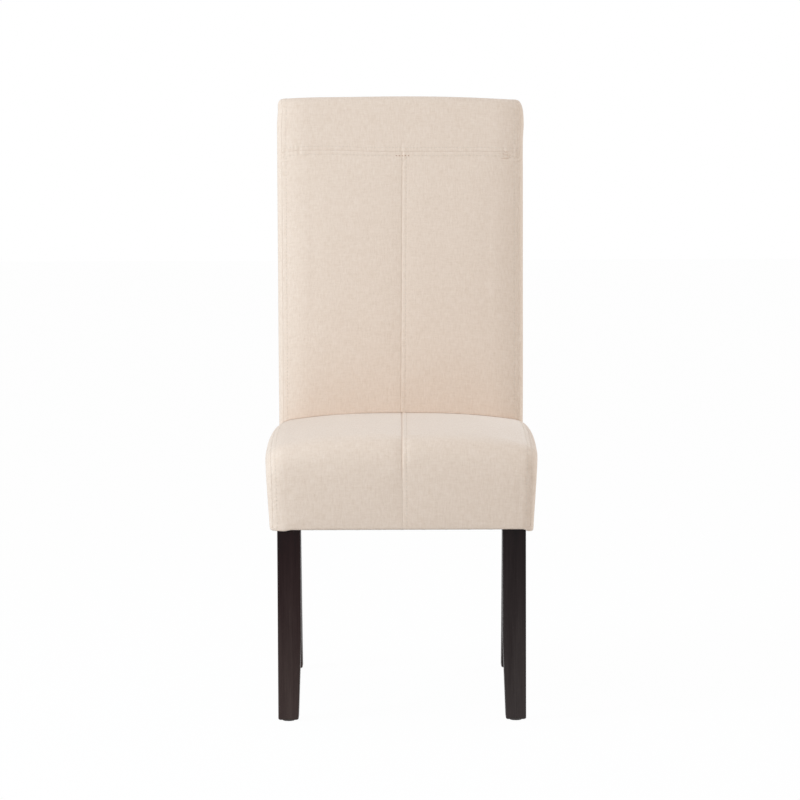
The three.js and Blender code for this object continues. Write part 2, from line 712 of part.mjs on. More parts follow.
function boltHole({ x, z }) {
  const start = new THREE.Vector3(x, REAR_RAIL_INNER_Y - CUT_OVERRUN, z);
  const end = new THREE.Vector3(x, BACK_RAIL_REAR_Y + CUT_OVERRUN, z);
  return bar(start, end, BOLT_RADIUS + FIT_GAP);
}

function barrelHole({ x, z }) {
  const start = new THREE.Vector3(x, BACK_RAIL_REAR_Y - TNUT_BARREL_LENGTH, z);
  const end = new THREE.Vector3(x, BACK_RAIL_REAR_Y + CUT_OVERRUN, z);
  return bar(start, end, TNUT_BARREL_RADIUS + FIT_GAP);
}

function seatRailRear() {
  const half = SIDE_RAIL_INNER_X - FIT_GAP;
  const rail = box([-half, half], [REAR_RAIL_INNER_Y, SEAT_FRAME_REAR_Y], RAIL_SPAN_Z);
  const tenon = box(...REAR_TENON);
  return without(
    rail.add(tenon).add(mirrored(tenon)),
    ...screwHoles(["rear"], ["left", "right"], "end"),
    ...boltPlaces().map(boltHole),
  );
}

function backRailBottom() {
  const half = POST_INNER_X - FIT_GAP;
  const rail = box([-half, half], [BACK_RAIL_Y, BACK_RAIL_REAR_Y], RAIL_SPAN_Z);
  const tenon = box(...BACK_BOTTOM_TENON);
  return without(
    rail.add(tenon).add(mirrored(tenon)),
    ...boltPlaces().map(boltHole),
    ...boltPlaces().map(barrelHole),
  );
}

function backRailTop() {
  const half = POST_INNER_X - FIT_GAP;
  const tenon = topRailBar(TOP_TENON_X, TENON_THICKNESS, TENON_SHOULDER);
  return topRailBar([-half, half], RAIL_THICKNESS, 0).add(tenon).add(mirrored(tenon));
}

function flangeBolt() {
  const stem = turned([
    [0, -BOLT_FLANGE_THICKNESS],
    [BOLT_FLANGE_RADIUS, -BOLT_FLANGE_THICKNESS],
    [BOLT_FLANGE_RADIUS, 0],
    [BOLT_RADIUS, 0],
    [BOLT_RADIUS, BOLT_SHANK],
    [0, BOLT_SHANK],
  ]);
  const height = BOLT_HEAD_HEIGHT + BOLT_FLANGE_THICKNESS / 2;
  const head = new THREE.CylinderGeometry(BOLT_HEAD_RADIUS, BOLT_HEAD_RADIUS, height, BOLT_HEAD_SIDES);
  return stem.add(solid(head.translate(0, -BOLT_FLANGE_THICKNESS / 2 - height / 2, 0)));
}

function tNut() {
  const bore = BOLT_RADIUS + FIT_GAP;
  return turned([
    [bore, TNUT_FLANGE_THICKNESS],
    [TNUT_FLANGE_RADIUS, TNUT_FLANGE_THICKNESS],
    [TNUT_FLANGE_RADIUS, 0],
    [TNUT_BARREL_RADIUS, 0],
    [TNUT_BARREL_RADIUS, -TNUT_BARREL_LENGTH + FIT_GAP],
    [bore, -TNUT_BARREL_LENGTH + FIT_GAP],
    [bore, TNUT_FLANGE_THICKNESS],
  ]);
}

function glide() {
  return turned([
    [0, 0],
    [GLIDE_RADIUS - GLIDE_EDGE, 0],
    [GLIDE_RADIUS, GLIDE_EDGE],
    [GLIDE_RADIUS, GLIDE_THICKNESS],
    [NAIL_RADIUS, GLIDE_THICKNESS],
    [NAIL_RADIUS, GLIDE_THICKNESS + NAIL_LENGTH],
    [0, GLIDE_THICKNESS + NAIL_LENGTH + NAIL_TIP],
  ]);
}

// A strap's side outline: flat on the rails, and over or under each strap that it crosses
function strapOutline(from, railFrom, crossings, railTo, to) {
  const reach = STRAP_WIDTH / 2 + STRAP_FLAT;
  const line = [
    [from, 0],
    [railFrom, 0],
    ...crossings.flatMap(({ at, rise }) => [at - reach, at + reach].map((end) => [end, rise * WEAVE_RISE])),
    [railTo, 0],
    [to, 0],
  ].map(([at, rise]) => [at, STRAP_LEVEL + rise]);
  const upper = line.map(([at, level]) => [at, level + STRAP_THICKNESS / 2]);
  const lower = line.map(([at, level]) => [at, level - STRAP_THICKNESS / 2]);
  return [...lower, ...upper.reverse()];
}

const STRAP_SIDE_X = SIDE_RAIL_INNER_X - STRAP_SIDE_INSET;
const LENGTHWISE_X = [-STRAP_SIDE_X, 0, STRAP_SIDE_X];
const CROSSWISE_Y = [FRONT_RAIL_INNER_Y + STRAP_FRONT_INSET, REAR_RAIL_INNER_Y - STRAP_REAR_INSET];

function overOrUnder(i, j) {
  return (i + j) % 2 === 0 ? 1 : -1;
}

function lengthwiseStrap(i) {
  const crossings = CROSSWISE_Y.map((at, j) => ({ at, rise: overOrUnder(i, j) }));
  const outline = strapOutline(
    FRONT_RAIL_INNER_Y - STRAP_HOLD,
    FRONT_RAIL_INNER_Y,
    crossings,
    REAR_RAIL_INNER_Y,
    REAR_RAIL_INNER_Y + STRAP_HOLD,
  );
  return prism(outline, "x", -STRAP_WIDTH / 2, STRAP_WIDTH / 2);
}

function crosswiseStrap(j) {
  const crossings = LENGTHWISE_X.map((at, i) => ({ at, rise: -overOrUnder(i, j) }));
  const end = SIDE_RAIL_INNER_X + STRAP_HOLD;
  const outline = strapOutline(-end, -SIDE_RAIL_INNER_X, crossings, SIDE_RAIL_INNER_X, end);
  return prism(outline, "y", -STRAP_WIDTH / 2, STRAP_WIDTH / 2);
}

function backStrap() {
  const length = 2 * (POST_OUTER_X - BACK_STRAP_END_INSET);
  return solid(new THREE.BoxGeometry(length, STRAP_THICKNESS, STRAP_WIDTH));
}

// The back's straps climb evenly from above the seat to below the top rail
function backStrapLevels() {
  const lowest = SEAT_HEIGHT + BACK_STRAP_RISE;
  const highest = TOP_RAIL_BOTTOM - BACK_STRAP_TOP_INSET;
  const gaps = Math.round((highest - lowest) / BACK_STRAP_SPACING);
  return Array.from({ length: gaps + 1 }, (unused, i) => lowest + i * BACK_STRAP_SPACING);
}

// Everything on one side of the chair's middle, or of a level, as a cutting solid
const FAR = CHAIR_HEIGHT + CUT_OVERRUN;

function sideHalf(side) {
  const middle = side === "left" ? -FIT_GAP / 2 : FIT_GAP / 2;
  return box([middle, SIDES[side] * FAR], [-FAR, FAR], [-FAR, FAR]);
}

function above(level) {
  return box([-FAR, FAR], [-FAR, FAR], [level, level + FAR]);
}

function below(level) {
  return box([-FAR, FAR], [-FAR, FAR], [level - FAR, level]);
}

// What lies outside the seat's side seams, and the side covers' fold under the rails
function seatSideRegion(margin) {
  const low = SEAT_WIDTH / 2 - SEAT_SIDE_TAPER - SEAT_SIDE_SEAM_LOWER_INSET - margin;
  const high = SEAT_WIDTH / 2 - SEAT_SIDE_SEAM_TOP_INSET - margin;
  const [floor, ceiling] = [SEAT_LOWER_EDGE - CUT_OVERRUN, SEAT_HEIGHT + CUT_OVERRUN];
  const outline = [[low, floor], [high, ceiling], [SEAT_WIDTH, ceiling], [SEAT_WIDTH, floor]];
  const outside = prism(outline, "y", -CUT_OVERRUN, SEAT_DEPTH + CUT_OVERRUN);
  const foldStart = SIDE_RAIL_OUTER_X - FOLD_UNDER - margin;
  const fold = box(
    [foldStart, SEAT_WIDTH],
    [LEG_REAR_Y + 2 * FIT_GAP - margin, SEAT_DEPTH + CUT_OVERRUN],
    [floor, RAIL_BOTTOM - FIT_GAP / 2],
  );
  return outside.add(fold);
}

// The seat's covers: a shell open underneath, but for the folds that are stapled to the rails
function seatShell() {
  const foldStart = SIDE_RAIL_OUTER_X - FOLD_UNDER;
  const leg = box(
    [LEG_INNER_X, LEG_OUTER_X],
    [LEG_FRONT_INSET, LEG_REAR_Y],
    [SEAT_LOWER_EDGE - CUT_OVERRUN, RAIL_TOP],
    FIT_GAP,
  );
  return without(
    seatForm(0, true),
    seatForm(COVER_THICKNESS, false),
    box(
      [-foldStart, foldStart],
      [FRONT_RAIL_Y + FOLD_UNDER, SEAT_DEPTH + CUT_OVERRUN],
      [SEAT_LOWER_EDGE - CUT_OVERRUN, RAIL_BOTTOM],
    ),
    box(
      [-LEG_OUTER_X - FIT_GAP, LEG_OUTER_X + FIT_GAP],
      [SEAT_FRAME_REAR_Y - CUT_OVERRUN, SEAT_DEPTH + CUT_OVERRUN],
      [SEAT_LOWER_EDGE - CUT_OVERRUN, FOAM_BASE],
    ),
    leg,
    mirrored(leg),
  );
}

function seatCovers() {
  const shell = seatShell();
  const rightSide = seatSideRegion(0);
  const grownSide = seatSideRegion(FIT_GAP);
  const middle = without(shell, grownSide, mirrored(grownSide));
  return {
    seat_cover_left: middle.intersect(sideHalf("left")),
    seat_cover_right: middle.intersect(sideHalf("right")),
    seat_side_cover_left: shell.intersect(mirrored(rightSide)),
    seat_side_cover_right: shell.intersect(rightSide),
  };
}

function seatFillings() {
  const filling = seatForm(FILLING_INSET, false);
  const skirt = filling.intersect(below(FOAM_BASE - FIT_GAP));
  const padSpanZ = [SEAT_LOWER_EDGE, FOAM_BASE];
  const padX = LEG_OUTER_X + FIT_GAP;
  const padY = LEG_FRONT_INSET - FIT_GAP;
  const side = skirt.intersect(box([padX, SEAT_WIDTH], [padY + FIT_GAP, SEAT_DEPTH], padSpanZ));
  return {
    seat_foam: filling.intersect(above(FOAM_BASE)),
    seat_front_pad: skirt.intersect(box([-SEAT_WIDTH, SEAT_WIDTH], [-CUT_OVERRUN, padY], padSpanZ)),
    seat_side_pad_left: mirrored(side),
    seat_side_pad_right: side,
  };
}

// A solid over the back's whole width that lies behind a line drawn from level to level
function behind(line, margin) {
  const floor = SEAT_LOWER_EDGE - CUT_OVERRUN;
  const levels = [floor, ...BEND_LEVELS.filter((level) => level > floor), FAR];
  const outline = [...levels.map((z) => [line(z) - margin, z]), [2 * FAR, FAR], [2 * FAR, floor]];
  return prism(outline, "x", -BACK_TOP_WIDTH, BACK_TOP_WIDTH);
}

// What lies outside the right side seam of the back
function backSideRegion(margin) {
  const x = (width) => width / 2 - BACK_SIDE_SEAM_INSET - margin;
  const outline = [
    [x(BACK_LOWER_WIDTH), SEAT_LOWER_EDGE - CUT_OVERRUN],
    [x(BACK_TOP_WIDTH), CHAIR_HEIGHT + CUT_OVERRUN],
    [BACK_TOP_WIDTH, CHAIR_HEIGHT + CUT_OVERRUN],
    [BACK_TOP_WIDTH, SEAT_LOWER_EDGE - CUT_OVERRUN],
  ];
  return prism(outline, "y", -CUT_OVERRUN, FAR);
}

// The outside cover: all of the lower end, and what lies behind the rear seam above it
function backRearRegion(margin) {
  const low = box([-BACK_TOP_WIDTH, BACK_TOP_WIDTH], [0, FAR], [0, LEAN_START + margin]);
  return behind((z) => backOuterRear(z) - BACK_REAR_SEAM_INSET, margin).add(low);
}

function postHole() {
  const margin = FIT_GAP;
  const levels = [FOOT_LEVEL, ...BEND_LEVELS, POST_TOP_LEVEL + FIT_GAP];
  const outline = [
    ...levels.map((z) => [postFront(z) - margin, z]),
    ...[...levels].reverse().map((z) => [postFront(z) + postDepth(z) + margin, z]),
  ];
  return prism(outline, "x", POST_INNER_X - margin, POST_OUTER_X + margin);
}

function backCovers(seatSpace) {
  const hole = postHole();
  const shell = without(
    backForm(0, true),
    backForm(COVER_THICKNESS, false),
    seatSpace,
    hole,
    mirrored(hole),
  );
  const side = backSideRegion(0);
  const grownSide = backSideRegion(FIT_GAP);
  const middle = without(shell, grownSide, mirrored(grownSide));
  const front = without(middle, backRearRegion(FIT_GAP));
  const lower = front.intersect(below(YOKE_SEAM_LEVEL - FIT_GAP / 2));
  return {
    back_yoke_cover: front.intersect(above(YOKE_SEAM_LEVEL + FIT_GAP / 2)),
    back_cover_left: lower.intersect(sideHalf("left")),
    back_cover_right: lower.intersect(sideHalf("right")),
    back_side_cover_left: shell.intersect(mirrored(side)),
    back_side_cover_right: shell.intersect(side),
    back_outside_cover: middle.intersect(backRearRegion(0)),
  };
}

// The foam lies on the straps and over the posts' tops, and each side pad outside its post
function backFillings(seatSpace) {
  const filling = without(backForm(FILLING_INSET, false), seatSpace);
  const foamRear = (z) => postFront(z) - STRAP_THICKNESS - 2 * FIT_GAP;
  const topGap = POST_TOP_LEVEL + FIT_GAP;
  const post = behind(foamRear, 0).intersect(below(topGap));
  const side = filling
    .intersect(behind(foamRear, -FIT_GAP))
    .intersect(below(topGap - FIT_GAP))
    .intersect(box([POST_OUTER_X + FIT_GAP, BACK_TOP_WIDTH], [0, FAR], [0, FAR]));
  const seatShoulder = SEAT_HEIGHT - SEAT_REAR_FALL - SEAT_SIDE_FALL - SEAT_SIDE_RADIUS;
  return {
    back_foam: without(filling, post).intersect(above(seatShoulder)),
    back_side_pad_left: mirrored(side),
    back_side_pad_right: side,
  };
}

function dustCover() {
  const sheet = box(
    [-LEG_OUTER_X, LEG_OUTER_X],
    [LEG_FRONT_INSET, SEAT_DEPTH - DUST_INSET],
    [SEAT_LOWER_EDGE - FIT_GAP - DUST_THICKNESS, SEAT_LOWER_EDGE - FIT_GAP],
  );
  const leg = box(
    [LEG_INNER_X, LEG_OUTER_X + CUT_OVERRUN],
    [LEG_FRONT_INSET - CUT_OVERRUN, LEG_REAR_Y],
    [0, RAIL_TOP],
    DUST_LEG_CLEARANCE,
  );
  return without(sheet, leg, mirrored(leg));
}

// Materials
const linen = new THREE.MeshStandardMaterial({ color: 0xe2d5c6, roughness: 0.9, metalness: 0 });
const espresso = new THREE.MeshStandardMaterial({ color: 0x2c2220, roughness: 0.42, metalness: 0 });
const frameWood = new THREE.MeshStandardMaterial({ color: 0xc9a877, roughness: 0.75, metalness: 0 });
const foam = new THREE.MeshStandardMaterial({ color: 0xf0e4bd, roughness: 0.95, metalness: 0 });
const webbing = new THREE.MeshStandardMaterial({ color: 0x8d7a5c, roughness: 0.9, metalness: 0 });
const dustCloth = new THREE.MeshStandardMaterial({ color: 0x1f1f20, roughness: 0.95, metalness: 0 });
const steel = new THREE.MeshStandardMaterial({ color: 0xb4b6b8, roughness: 0.35, metalness: 1 });
const plastic = new THREE.MeshStandardMaterial({ color: 0x3a3634, roughness: 0.5, metalness: 0 });

function piece(name, body, material, position = [0, 0, 0], rotation = [0, 0, 0]) {
  const mesh = new THREE.Mesh(geometryOf(body), material);
  mesh.name = name;
  mesh.position.set(...position);
  mesh.rotation.set(...rotation);
  return mesh;
}

function pieces(bodies, material) {
  return Object.entries(bodies).map(([name, body]) => piece(name, body, material));
}

function cornerScrewPieces(end, side) {
  const screws = Object.entries(cornerScrews(end, side));
  return screws.map(([run, { seat, way }]) => {
    const mesh = piece(`corner_screw_${end}_${side}_${run}`, cornerScrew(), steel);
    mesh.position.copy(seat).addScaledVector(way, -FIT_GAP);
    mesh.quaternion.setFromUnitVectors(CYLINDER_AXIS, way);
    return mesh;
  });
}

function buildSeatFrame() {
  const leg = frontLeg();
  const frame = new THREE.Group();
  frame.add(piece("front_leg_left", mirrored(leg), espresso));
  frame.add(piece("front_leg_right", leg, espresso));
  frame.add(piece("seat_rail_front", seatRailFront(), frameWood));
  frame.add(piece("seat_rail_rear", seatRailRear(), frameWood));
  for (const side of Object.keys(SIDES)) {
    frame.add(piece(`seat_rail_${side}`, seatRailSide(side), frameWood));
    for (const end of ["front", "rear"]) {
      frame.add(piece(`corner_block_${end}_${side}`, cornerBlock(end, side), frameWood));
      frame.add(...cornerScrewPieces(end, side));
    }
  }
  LENGTHWISE_X.forEach((x, i) => {
    frame.add(piece(`seat_strap_lengthwise_${i + 1}`, lengthwiseStrap(i), webbing, [x, 0, 0]));
  });
  CROSSWISE_Y.forEach((y, j) => {
    frame.add(piece(`seat_strap_crosswise_${j + 1}`, crosswiseStrap(j), webbing, [0, y, 0]));
  });
  return frame;
}

function buildSeatUpholstery() {
  const upholstery = new THREE.Group();
  upholstery.add(...pieces(seatFillings(), foam));
  upholstery.add(...pieces(seatCovers(), linen));
  upholstery.add(piece("dust_cover", dustCover(), dustCloth));
  return upholstery;
}

function buildBackFrame() {
  const post = rearPost();
  const frame = new THREE.Group();
  frame.add(piece("rear_post_left", mirrored(post), espresso));
  frame.add(piece("rear_post_right", post, espresso));
  frame.add(piece("back_rail_bottom", backRailBottom(), frameWood));
  frame.add(piece("back_rail_top", backRailTop(), frameWood));
  const lean = Math.atan(LEAN_SLOPE);
  backStrapLevels().forEach((z, i) => {
    const y = postFront(z) - (FIT_GAP + STRAP_THICKNESS / 2) / Math.cos(lean);
    frame.add(piece(`back_strap_${i + 1}`, backStrap(), webbing, [0, y, z], [-lean, 0, 0]));
  });
  return frame;
}

function buildBackUpholstery() {
  const seatSpace = seatForm(-FIT_GAP, false);
  const upholstery = new THREE.Group();
  upholstery.add(...pieces(backFillings(seatSpace), foam));
  upholstery.add(...pieces(backCovers(seatSpace), linen));
  return upholstery;
}

// Bolts lie along Y, with their heads inside the seat frame and their T-nuts behind the back's rail
function buildBolts() {
  const bolts = new THREE.Group();
  boltPlaces().forEach(({ x, z }, i) => {
    bolts.add(piece(`frame_bolt_${i + 1}`, flangeBolt(), steel, [x, REAR_RAIL_INNER_Y - FIT_GAP, z]));
    bolts.add(piece(`t_nut_${i + 1}`, tNut(), steel, [x, BACK_RAIL_REAR_Y + FIT_GAP, z]));
  });
  return bolts;
}

function buildGlides() {
  const glides = new THREE.Group();
  const places = { front: FRONT_GLIDE, rear: REAR_GLIDE };
  for (const [end, { x, y }] of Object.entries(places)) {
    for (const [side, way] of Object.entries(SIDES)) {
      const position = [way * x, y, 0];
      glides.add(piece(`glide_${end}_${side}`, glide(), plastic, position, [Math.PI / 2, 0, 0]));
    }
  }
  return glides;
}

const chair = new THREE.Group();
chair.add(
  buildSeatFrame(),
  buildSeatUpholstery(),
  buildBackFrame(),
  buildBackUpholstery(),
  buildBolts(),
  buildGlides(),
);

// The origin is the middle of the chair's plan, on the floor
chair.updateMatrixWorld(true);
const extent = new THREE.Box3().setFromObject(chair);
chair.position.y = -(extent.min.y + extent.max.y) / 2;
chair.updateMatrixWorld(true);

export default chair;
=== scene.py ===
from functools import cached_property
import math
import bpy
import numpy as np
from mathutils import Matrix, Vector


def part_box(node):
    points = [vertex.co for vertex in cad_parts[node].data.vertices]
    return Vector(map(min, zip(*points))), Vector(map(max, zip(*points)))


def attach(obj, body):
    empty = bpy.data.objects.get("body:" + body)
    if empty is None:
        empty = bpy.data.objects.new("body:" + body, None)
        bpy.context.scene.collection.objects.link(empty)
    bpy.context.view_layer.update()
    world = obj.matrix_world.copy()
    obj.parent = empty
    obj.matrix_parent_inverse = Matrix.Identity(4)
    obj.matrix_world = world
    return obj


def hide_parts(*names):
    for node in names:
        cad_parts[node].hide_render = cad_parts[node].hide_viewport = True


# The looks of a tall-backed upholstered dining chair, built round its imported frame.
# Lengths are in metres. X runs to the right and Y to the rear, as seen from the front.

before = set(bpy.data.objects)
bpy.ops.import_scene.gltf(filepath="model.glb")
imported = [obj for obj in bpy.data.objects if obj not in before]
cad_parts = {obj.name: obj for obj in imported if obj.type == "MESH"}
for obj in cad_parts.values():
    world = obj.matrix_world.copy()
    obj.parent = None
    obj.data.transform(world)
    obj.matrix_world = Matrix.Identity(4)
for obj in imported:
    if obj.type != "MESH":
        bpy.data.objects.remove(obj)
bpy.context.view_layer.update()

# The camera, solved from the photograph and counted from the seat's front face
CAMERA_DISTANCE = 5.8237
CAMERA_HEIGHT = 1.0252
CAMERA_X = -0.0018
CAMERA_TILT = math.radians(4.59)
CAMERA_ROLL = math.radians(-0.22)
CAMERA_LENS_MM = 153.74
CAMERA_CLIP_END = 60

# The seat's outer form
SEAT_WIDTH = 0.473
SEAT_DEPTH = 0.472
SEAT_HEIGHT = 0.502
SEAT_LOWER_EDGE = 0.333
SEAT_WIDEST_LEVEL = 0.456
SEAT_SIDE_TAPER = 0.008
SEAT_PLAN_DRAW = 0.002
SEAT_FRONT_DRAW = 0.004
SEAT_FRONT_RADIUS = 0.045
SEAT_REAR_RADIUS = 0.014
SEAT_ROUND_WIDTHS = {-1: 0.036, 1: 0.026}
SEAT_ROUND_DROPS = {-1: 0.0225, 1: 0.0165}
SEAT_PEAK_Y = 0.280
SEAT_FRONT_FALL = 0.015
SEAT_REAR_FALL = 0.005
SEAT_SIDE_FALL = 0.0176
SEAT_SIDE_FALL_POWER = 2.6
SEAT_SEAM_TOP_INSET = 0.0105
SEAT_SEAM_LOWER_INSET = 0.0065

# The back's outer form
BACK_TOP_WIDTH = 0.461
BACK_LOWER_WIDTH = 0.447
CHAIR_HEIGHT = 1.080
BACK_BUILD_UP = 0.035
BACK_CORNER_RADIUS = 0.012
BACK_TOP_FALL = 0.006
BACK_TOP_FRONT_RADIUS = 0.016
BACK_TOP_REAR_RADIUS = 0.009
BACK_SHOULDER_WIDTH = 0.058
BACK_SHOULDER_DROP = 0.013
BACK_PUFF = 0.005
BACK_SEAM_INSET = 0.0095
YOKE_SEAM_LEVEL = 0.977
LOWER_BACK_RUN = YOKE_SEAM_LEVEL - SEAT_HEIGHT
YOKE_RUN = CHAIR_HEIGHT - BACK_TOP_FRONT_RADIUS - YOKE_SEAM_LEVEL
COVER_BEHIND_POST = 0.0028

# The rear posts' line, which the back follows
POST_FRONT_Y = 0.4723
POST_TOP_LEVEL = 1.066
POST_DEPTH = 0.050
POST_TOP_DEPTH = 0.038
POST_FOOT_DEPTH = 0.038
FOOT_LEVEL = 0.0028
LEAN_START = 0.440
LEAN_BLEND = 0.160
POST_LEAN = 0.137
KICK_START = 0.400
KICK_BLEND = 0.090
POST_KICK = 0.106

SEAT_FRONT_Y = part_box("seat_cover_left")[0].y
SIDES = {"left": -1, "right": 1}

# Filling, straps and dust cover. Each way of the seat's straps has their number, the axis that they
# run along, 1 or -1 as the first passes over or under the first of the others, and their rails.
FOAM_VOXEL = 0.008
FOAM_SMOOTHING = 6
FOAM_DRAW_IN = 0.0025
STRAP_WIDTH = 0.050
STRAP_THICKNESS = 0.0018
STRAP_FLAT = 0.003
STRAP_HOLD = 0.017
STRAP_LEVEL = 0.4031
STRAP_SAG = 0.0005
STRAP_STEPS = 90
STRAP_WIDTH_STEPS = 13
STRAP_INSIDE = (0, 0.1, 0.1)
STRAP_WAYS = {
    "lengthwise": (3, 1, 1, ["seat_rail_front", "seat_rail_rear"]),
    "crosswise": (2, 0, -1, ["seat_rail_left", "seat_rail_right"]),
}
JUTE_PITCH = 0.0022
WEAVE_RISE = 0.00115
DUST_THICKNESS = 0.0006
DUST_FRONT_INSET = 0.006
DUST_LEG_CLEARANCE = 0.001
DUST_STEPS = 40
DUST_NOTCH_STEPS = 6
DUST_SAG = 0.0022
DUST_RIPPLE = 0.0006
DUST_RIPPLE_RATES = (61, 83)
DUST_INSIDE = (0, 0.2, 0.5)
STAPLE_INSET = 0.007
STAPLE = {"pitch": 0.038, "length": 0.011, "radius": 0.0006}

# Finish: sRGB colours from 0 to 255, the weave's pitch, and the depth of each material's bumps
LINEN_DARK = (223, 199, 178)
LINEN_COLOUR = (233, 211, 192)
LINEN_LIGHT = (241, 221, 204)
WEAVE_PITCH = 0.0009
LINEN_BUMP = 0.00035
THREAD_BUMP = 0.00006
WOOD_BUMP = 0.00012
JUTE_BUMP = 0.0006
FOAM_BUMP = 0.0005
DUST_CLOTH_BUMP = 0.0003
PLASTIC_BUMP = 0.00008

# The legs: their tone's lift at the foot and the top, which paints light at the foot and shade under
# the seat, the stain's saturation and value at the left and the right, and their softened edges
LEG_PAINTED_LIGHT_LIFTS = (0.30, -0.03)
STAIN_GRAIN = 0.6
STAIN_SATURATIONS = (1.28, 0.85)
STAIN_VALUES = (1.06, 0.90)
LEG_EDGE_RADIUS = 0.0008
WELD_DISTANCE = 0.00002
EDGE_ANGLE = math.radians(20)

# Light and floor
SENSOR_MM = 36
WHITE = (1, 1, 1, 1)
WORLD_LIGHT = 0.637
LAMP_TARGET = (0, 0, 0.65)
LAMPS = {
    "key": {"place": (-2.5, -1.55, 2.3), "size": 1.3, "colour": (0.71, 0.865, 1.0), "power": 71},
    "fill": {"place": (3.5, 1.1, 0.75), "size": 2.0, "colour": (0.87, 0.965, 1.0), "power": 45},
}
FLOOR_SIZE = 40
FLOOR_ALBEDO = 0.85
FLOOR_GLOW_SHARE = 0.975

# Seams: a crease, a band that the folded edges below raise, and dimples under the rows of stitches.
# A stitched share says how much of the band and the dimples a seam shows.
SEAM_CREASE_DEPTH = 0.0004
SEAM_CREASE_WIDTH = 0.0014
SEAT_CREASE_DEPTH = 0.0011
SIDE_CREASE_DEPTH = 0.00025
SEAM_BAND_RISE = 0.0005
SEAM_BAND_WIDTH = 0.0095
SEAM_GAP = 0.00002
YOKE_SEAM_GAP = 0.00004
SEAM_LIP_DEPTH = 0.0024
SEAT_REACH = SEAT_WIDTH / 2 - SEAT_SEAM_TOP_INSET - SEAM_GAP
BACK_REACH = BACK_TOP_WIDTH / 2 - BACK_SEAM_INSET - SEAM_GAP
YOKE_END_SHARE = 0.05
SIDE_STITCHED_SHARE = 0.2
BACK_STITCHED_SHARE = 0.5
STITCH_ROW_OFFSET = 0.0075
STITCH_DIMPLE_DEPTH = 0.0004
STITCH_DIMPLE_WIDTH = 0.0013

# Small puckers beside the seams: waves that start differently at each seam and on each side
PUCKER_RISE = 0.00022
PUCKER_REACH = 0.011
PUCKER_PITCHES = (0.0083, 0.0127, 0.0211)
SIDE_PHASE = 2.2
SEAM_PHASES = {"seat middle": 0, "side": 1, "yoke": 2, "back middle": 4, "rear": 5}

# Stitches, and the tack where the back's seams meet. Stations along a stitch give its form.
STITCH = {"pitch": 0.0066, "length": 0.0044, "radius": 0.00030}
TACK_STITCH = {"pitch": 0.0057, "length": 0.0026, "radius": 0.0008}
TACK_X = 0.0036
TACK_REACH = 0.0155
THREAD_SIDES = 6
STITCH_SINK_SHARE = 0.25
STITCH_STATION_SHARES = (-1.0, -0.72, 0.0, 0.72, 1.0)
STITCH_RADIUS_SHARES = (0.45, 0.9, 1.0, 0.9, 0.45)
STITCH_DIP_SHARES = (1.3, 0.3, 0.0, 0.3, 1.3)

# Short folds fan out leftwards from a point below the right end of the yoke seam, in a shallow dent
FAN_X = 0.2170
FAN_LEVEL = 0.9654
FAN_TURNS = (0.50, 0.26, -0.08)
FAN_MIDDLE = 0.0179
FAN_RUN = 0.0080
FAN_FOLD_WIDTH = 0.0009
FAN_FOLD_DEPTH = 0.0021
FAN_DENT = 0.0008
FAN_DENT_X = 0.208
FAN_DENT_LEVEL = 0.968
FAN_DENT_REACH = 0.036
FAN_ROOM = 0.032
FAN_STEP = 0.0007
FAN_MARKS = 8

# The seat's middle seam: it fades down the front, over a shallow valley at the front's top edge
SEAT_MIDDLE_SEAM_SHIFT = 0.0018
SEAM_FADE_TOP = 0.452
SEAM_FADE_RUN = 0.045
SEAM_FADED_SHARE = 0.10
VALLEY_DEPTH = 0.0030
VALLEY_WIDTH = 0.010
VALLEY_RUN = 0.035

# How the hand-sewn seams wander: each bump has a place along X, a rise and a half width
YOKE_SEAM_BUMPS = ((-0.150, 0.0036, 0.075), (-0.228, -0.0040, 0.018), (0.215, -0.0014, 0.040))
YOKE_SEAM_BLEND = 0.045
MIDDLE_SEAM_LEAN = 0.0045
MIDDLE_SEAM_BLEND = 0.090

# Where the seat's covers hang a little lower beside the legs, from a place on each side outwards
LOWER_EDGE_LIFT = 0.0006
LEG_DIPS = {-1: 0.0022, 1: 0.0044}
LEG_DIP_STARTS = {-1: 0.188, 1: 0.2080}
LEG_DIP_RUN = 0.016
LEG_DIP_END = 0.052
LEG_DIP_HEIGHT = 0.030

# How the back's top and sides stray: each bump has a place, a shift and a half width
TOP_BUMPS = ((-0.190, 0.0020, 0.070), (0.235, -0.0017, 0.100))
SIDE_BUMPS = {
    -1: ((1.054, -0.0017, 0.014),),
    1: ((1.070, -0.0024, 0.010), (1.030, 0.0017, 0.022)),
}
SIDE_BUMPS_FROM = 0.170
TOP_BUMPS_RUN = 0.060

# The covers' cloth, its lower edges and the folds that are stapled underneath
CLOTH_THICKNESS = 0.0011
LOWER_EDGE_RADIUS = 0.0042
BACK_LOWER_RADIUS = 0.0021
FOLD_DEPTH = 0.025
BACK_FOLD_DEPTH = 0.055
FOLD_CLEARANCE = 0.0006
LAYER_RISE = 0.0013
LEAST_FOLD = 0.0004
BACK_TUCK_RADIUS = 0.0010
SEAT_CLEARANCE = 0.0002
BEHIND_SEAT = 0.0006
SEAT_REAR_ARC_LEVEL = 0.465
SEAT_SIDE_SWELL = 0.0008
BACK_SIDE_SWELL = 0.0008
SEAT_INSIDE = (0.10, 0.236, 0.42)
BACK_INSIDE = (0.10, 0.54, 0.75)
YOKE_INSIDE = (0.10, 0.61, 1.02)

# The legs and posts that the folds keep clear of, at the level of the covers' lower edges
LEG_INNER_X = 0.174
LEG_OUTER_X = 0.214
LEG_FRONT_Y = 0.012
LEG_WIDTH = 0.040
POST_INNER_X = 0.188
POST_OUTER_X = 0.218
POST_LOW_FRONT_Y = 0.4798
POST_LOW_REAR_Y = 0.5287

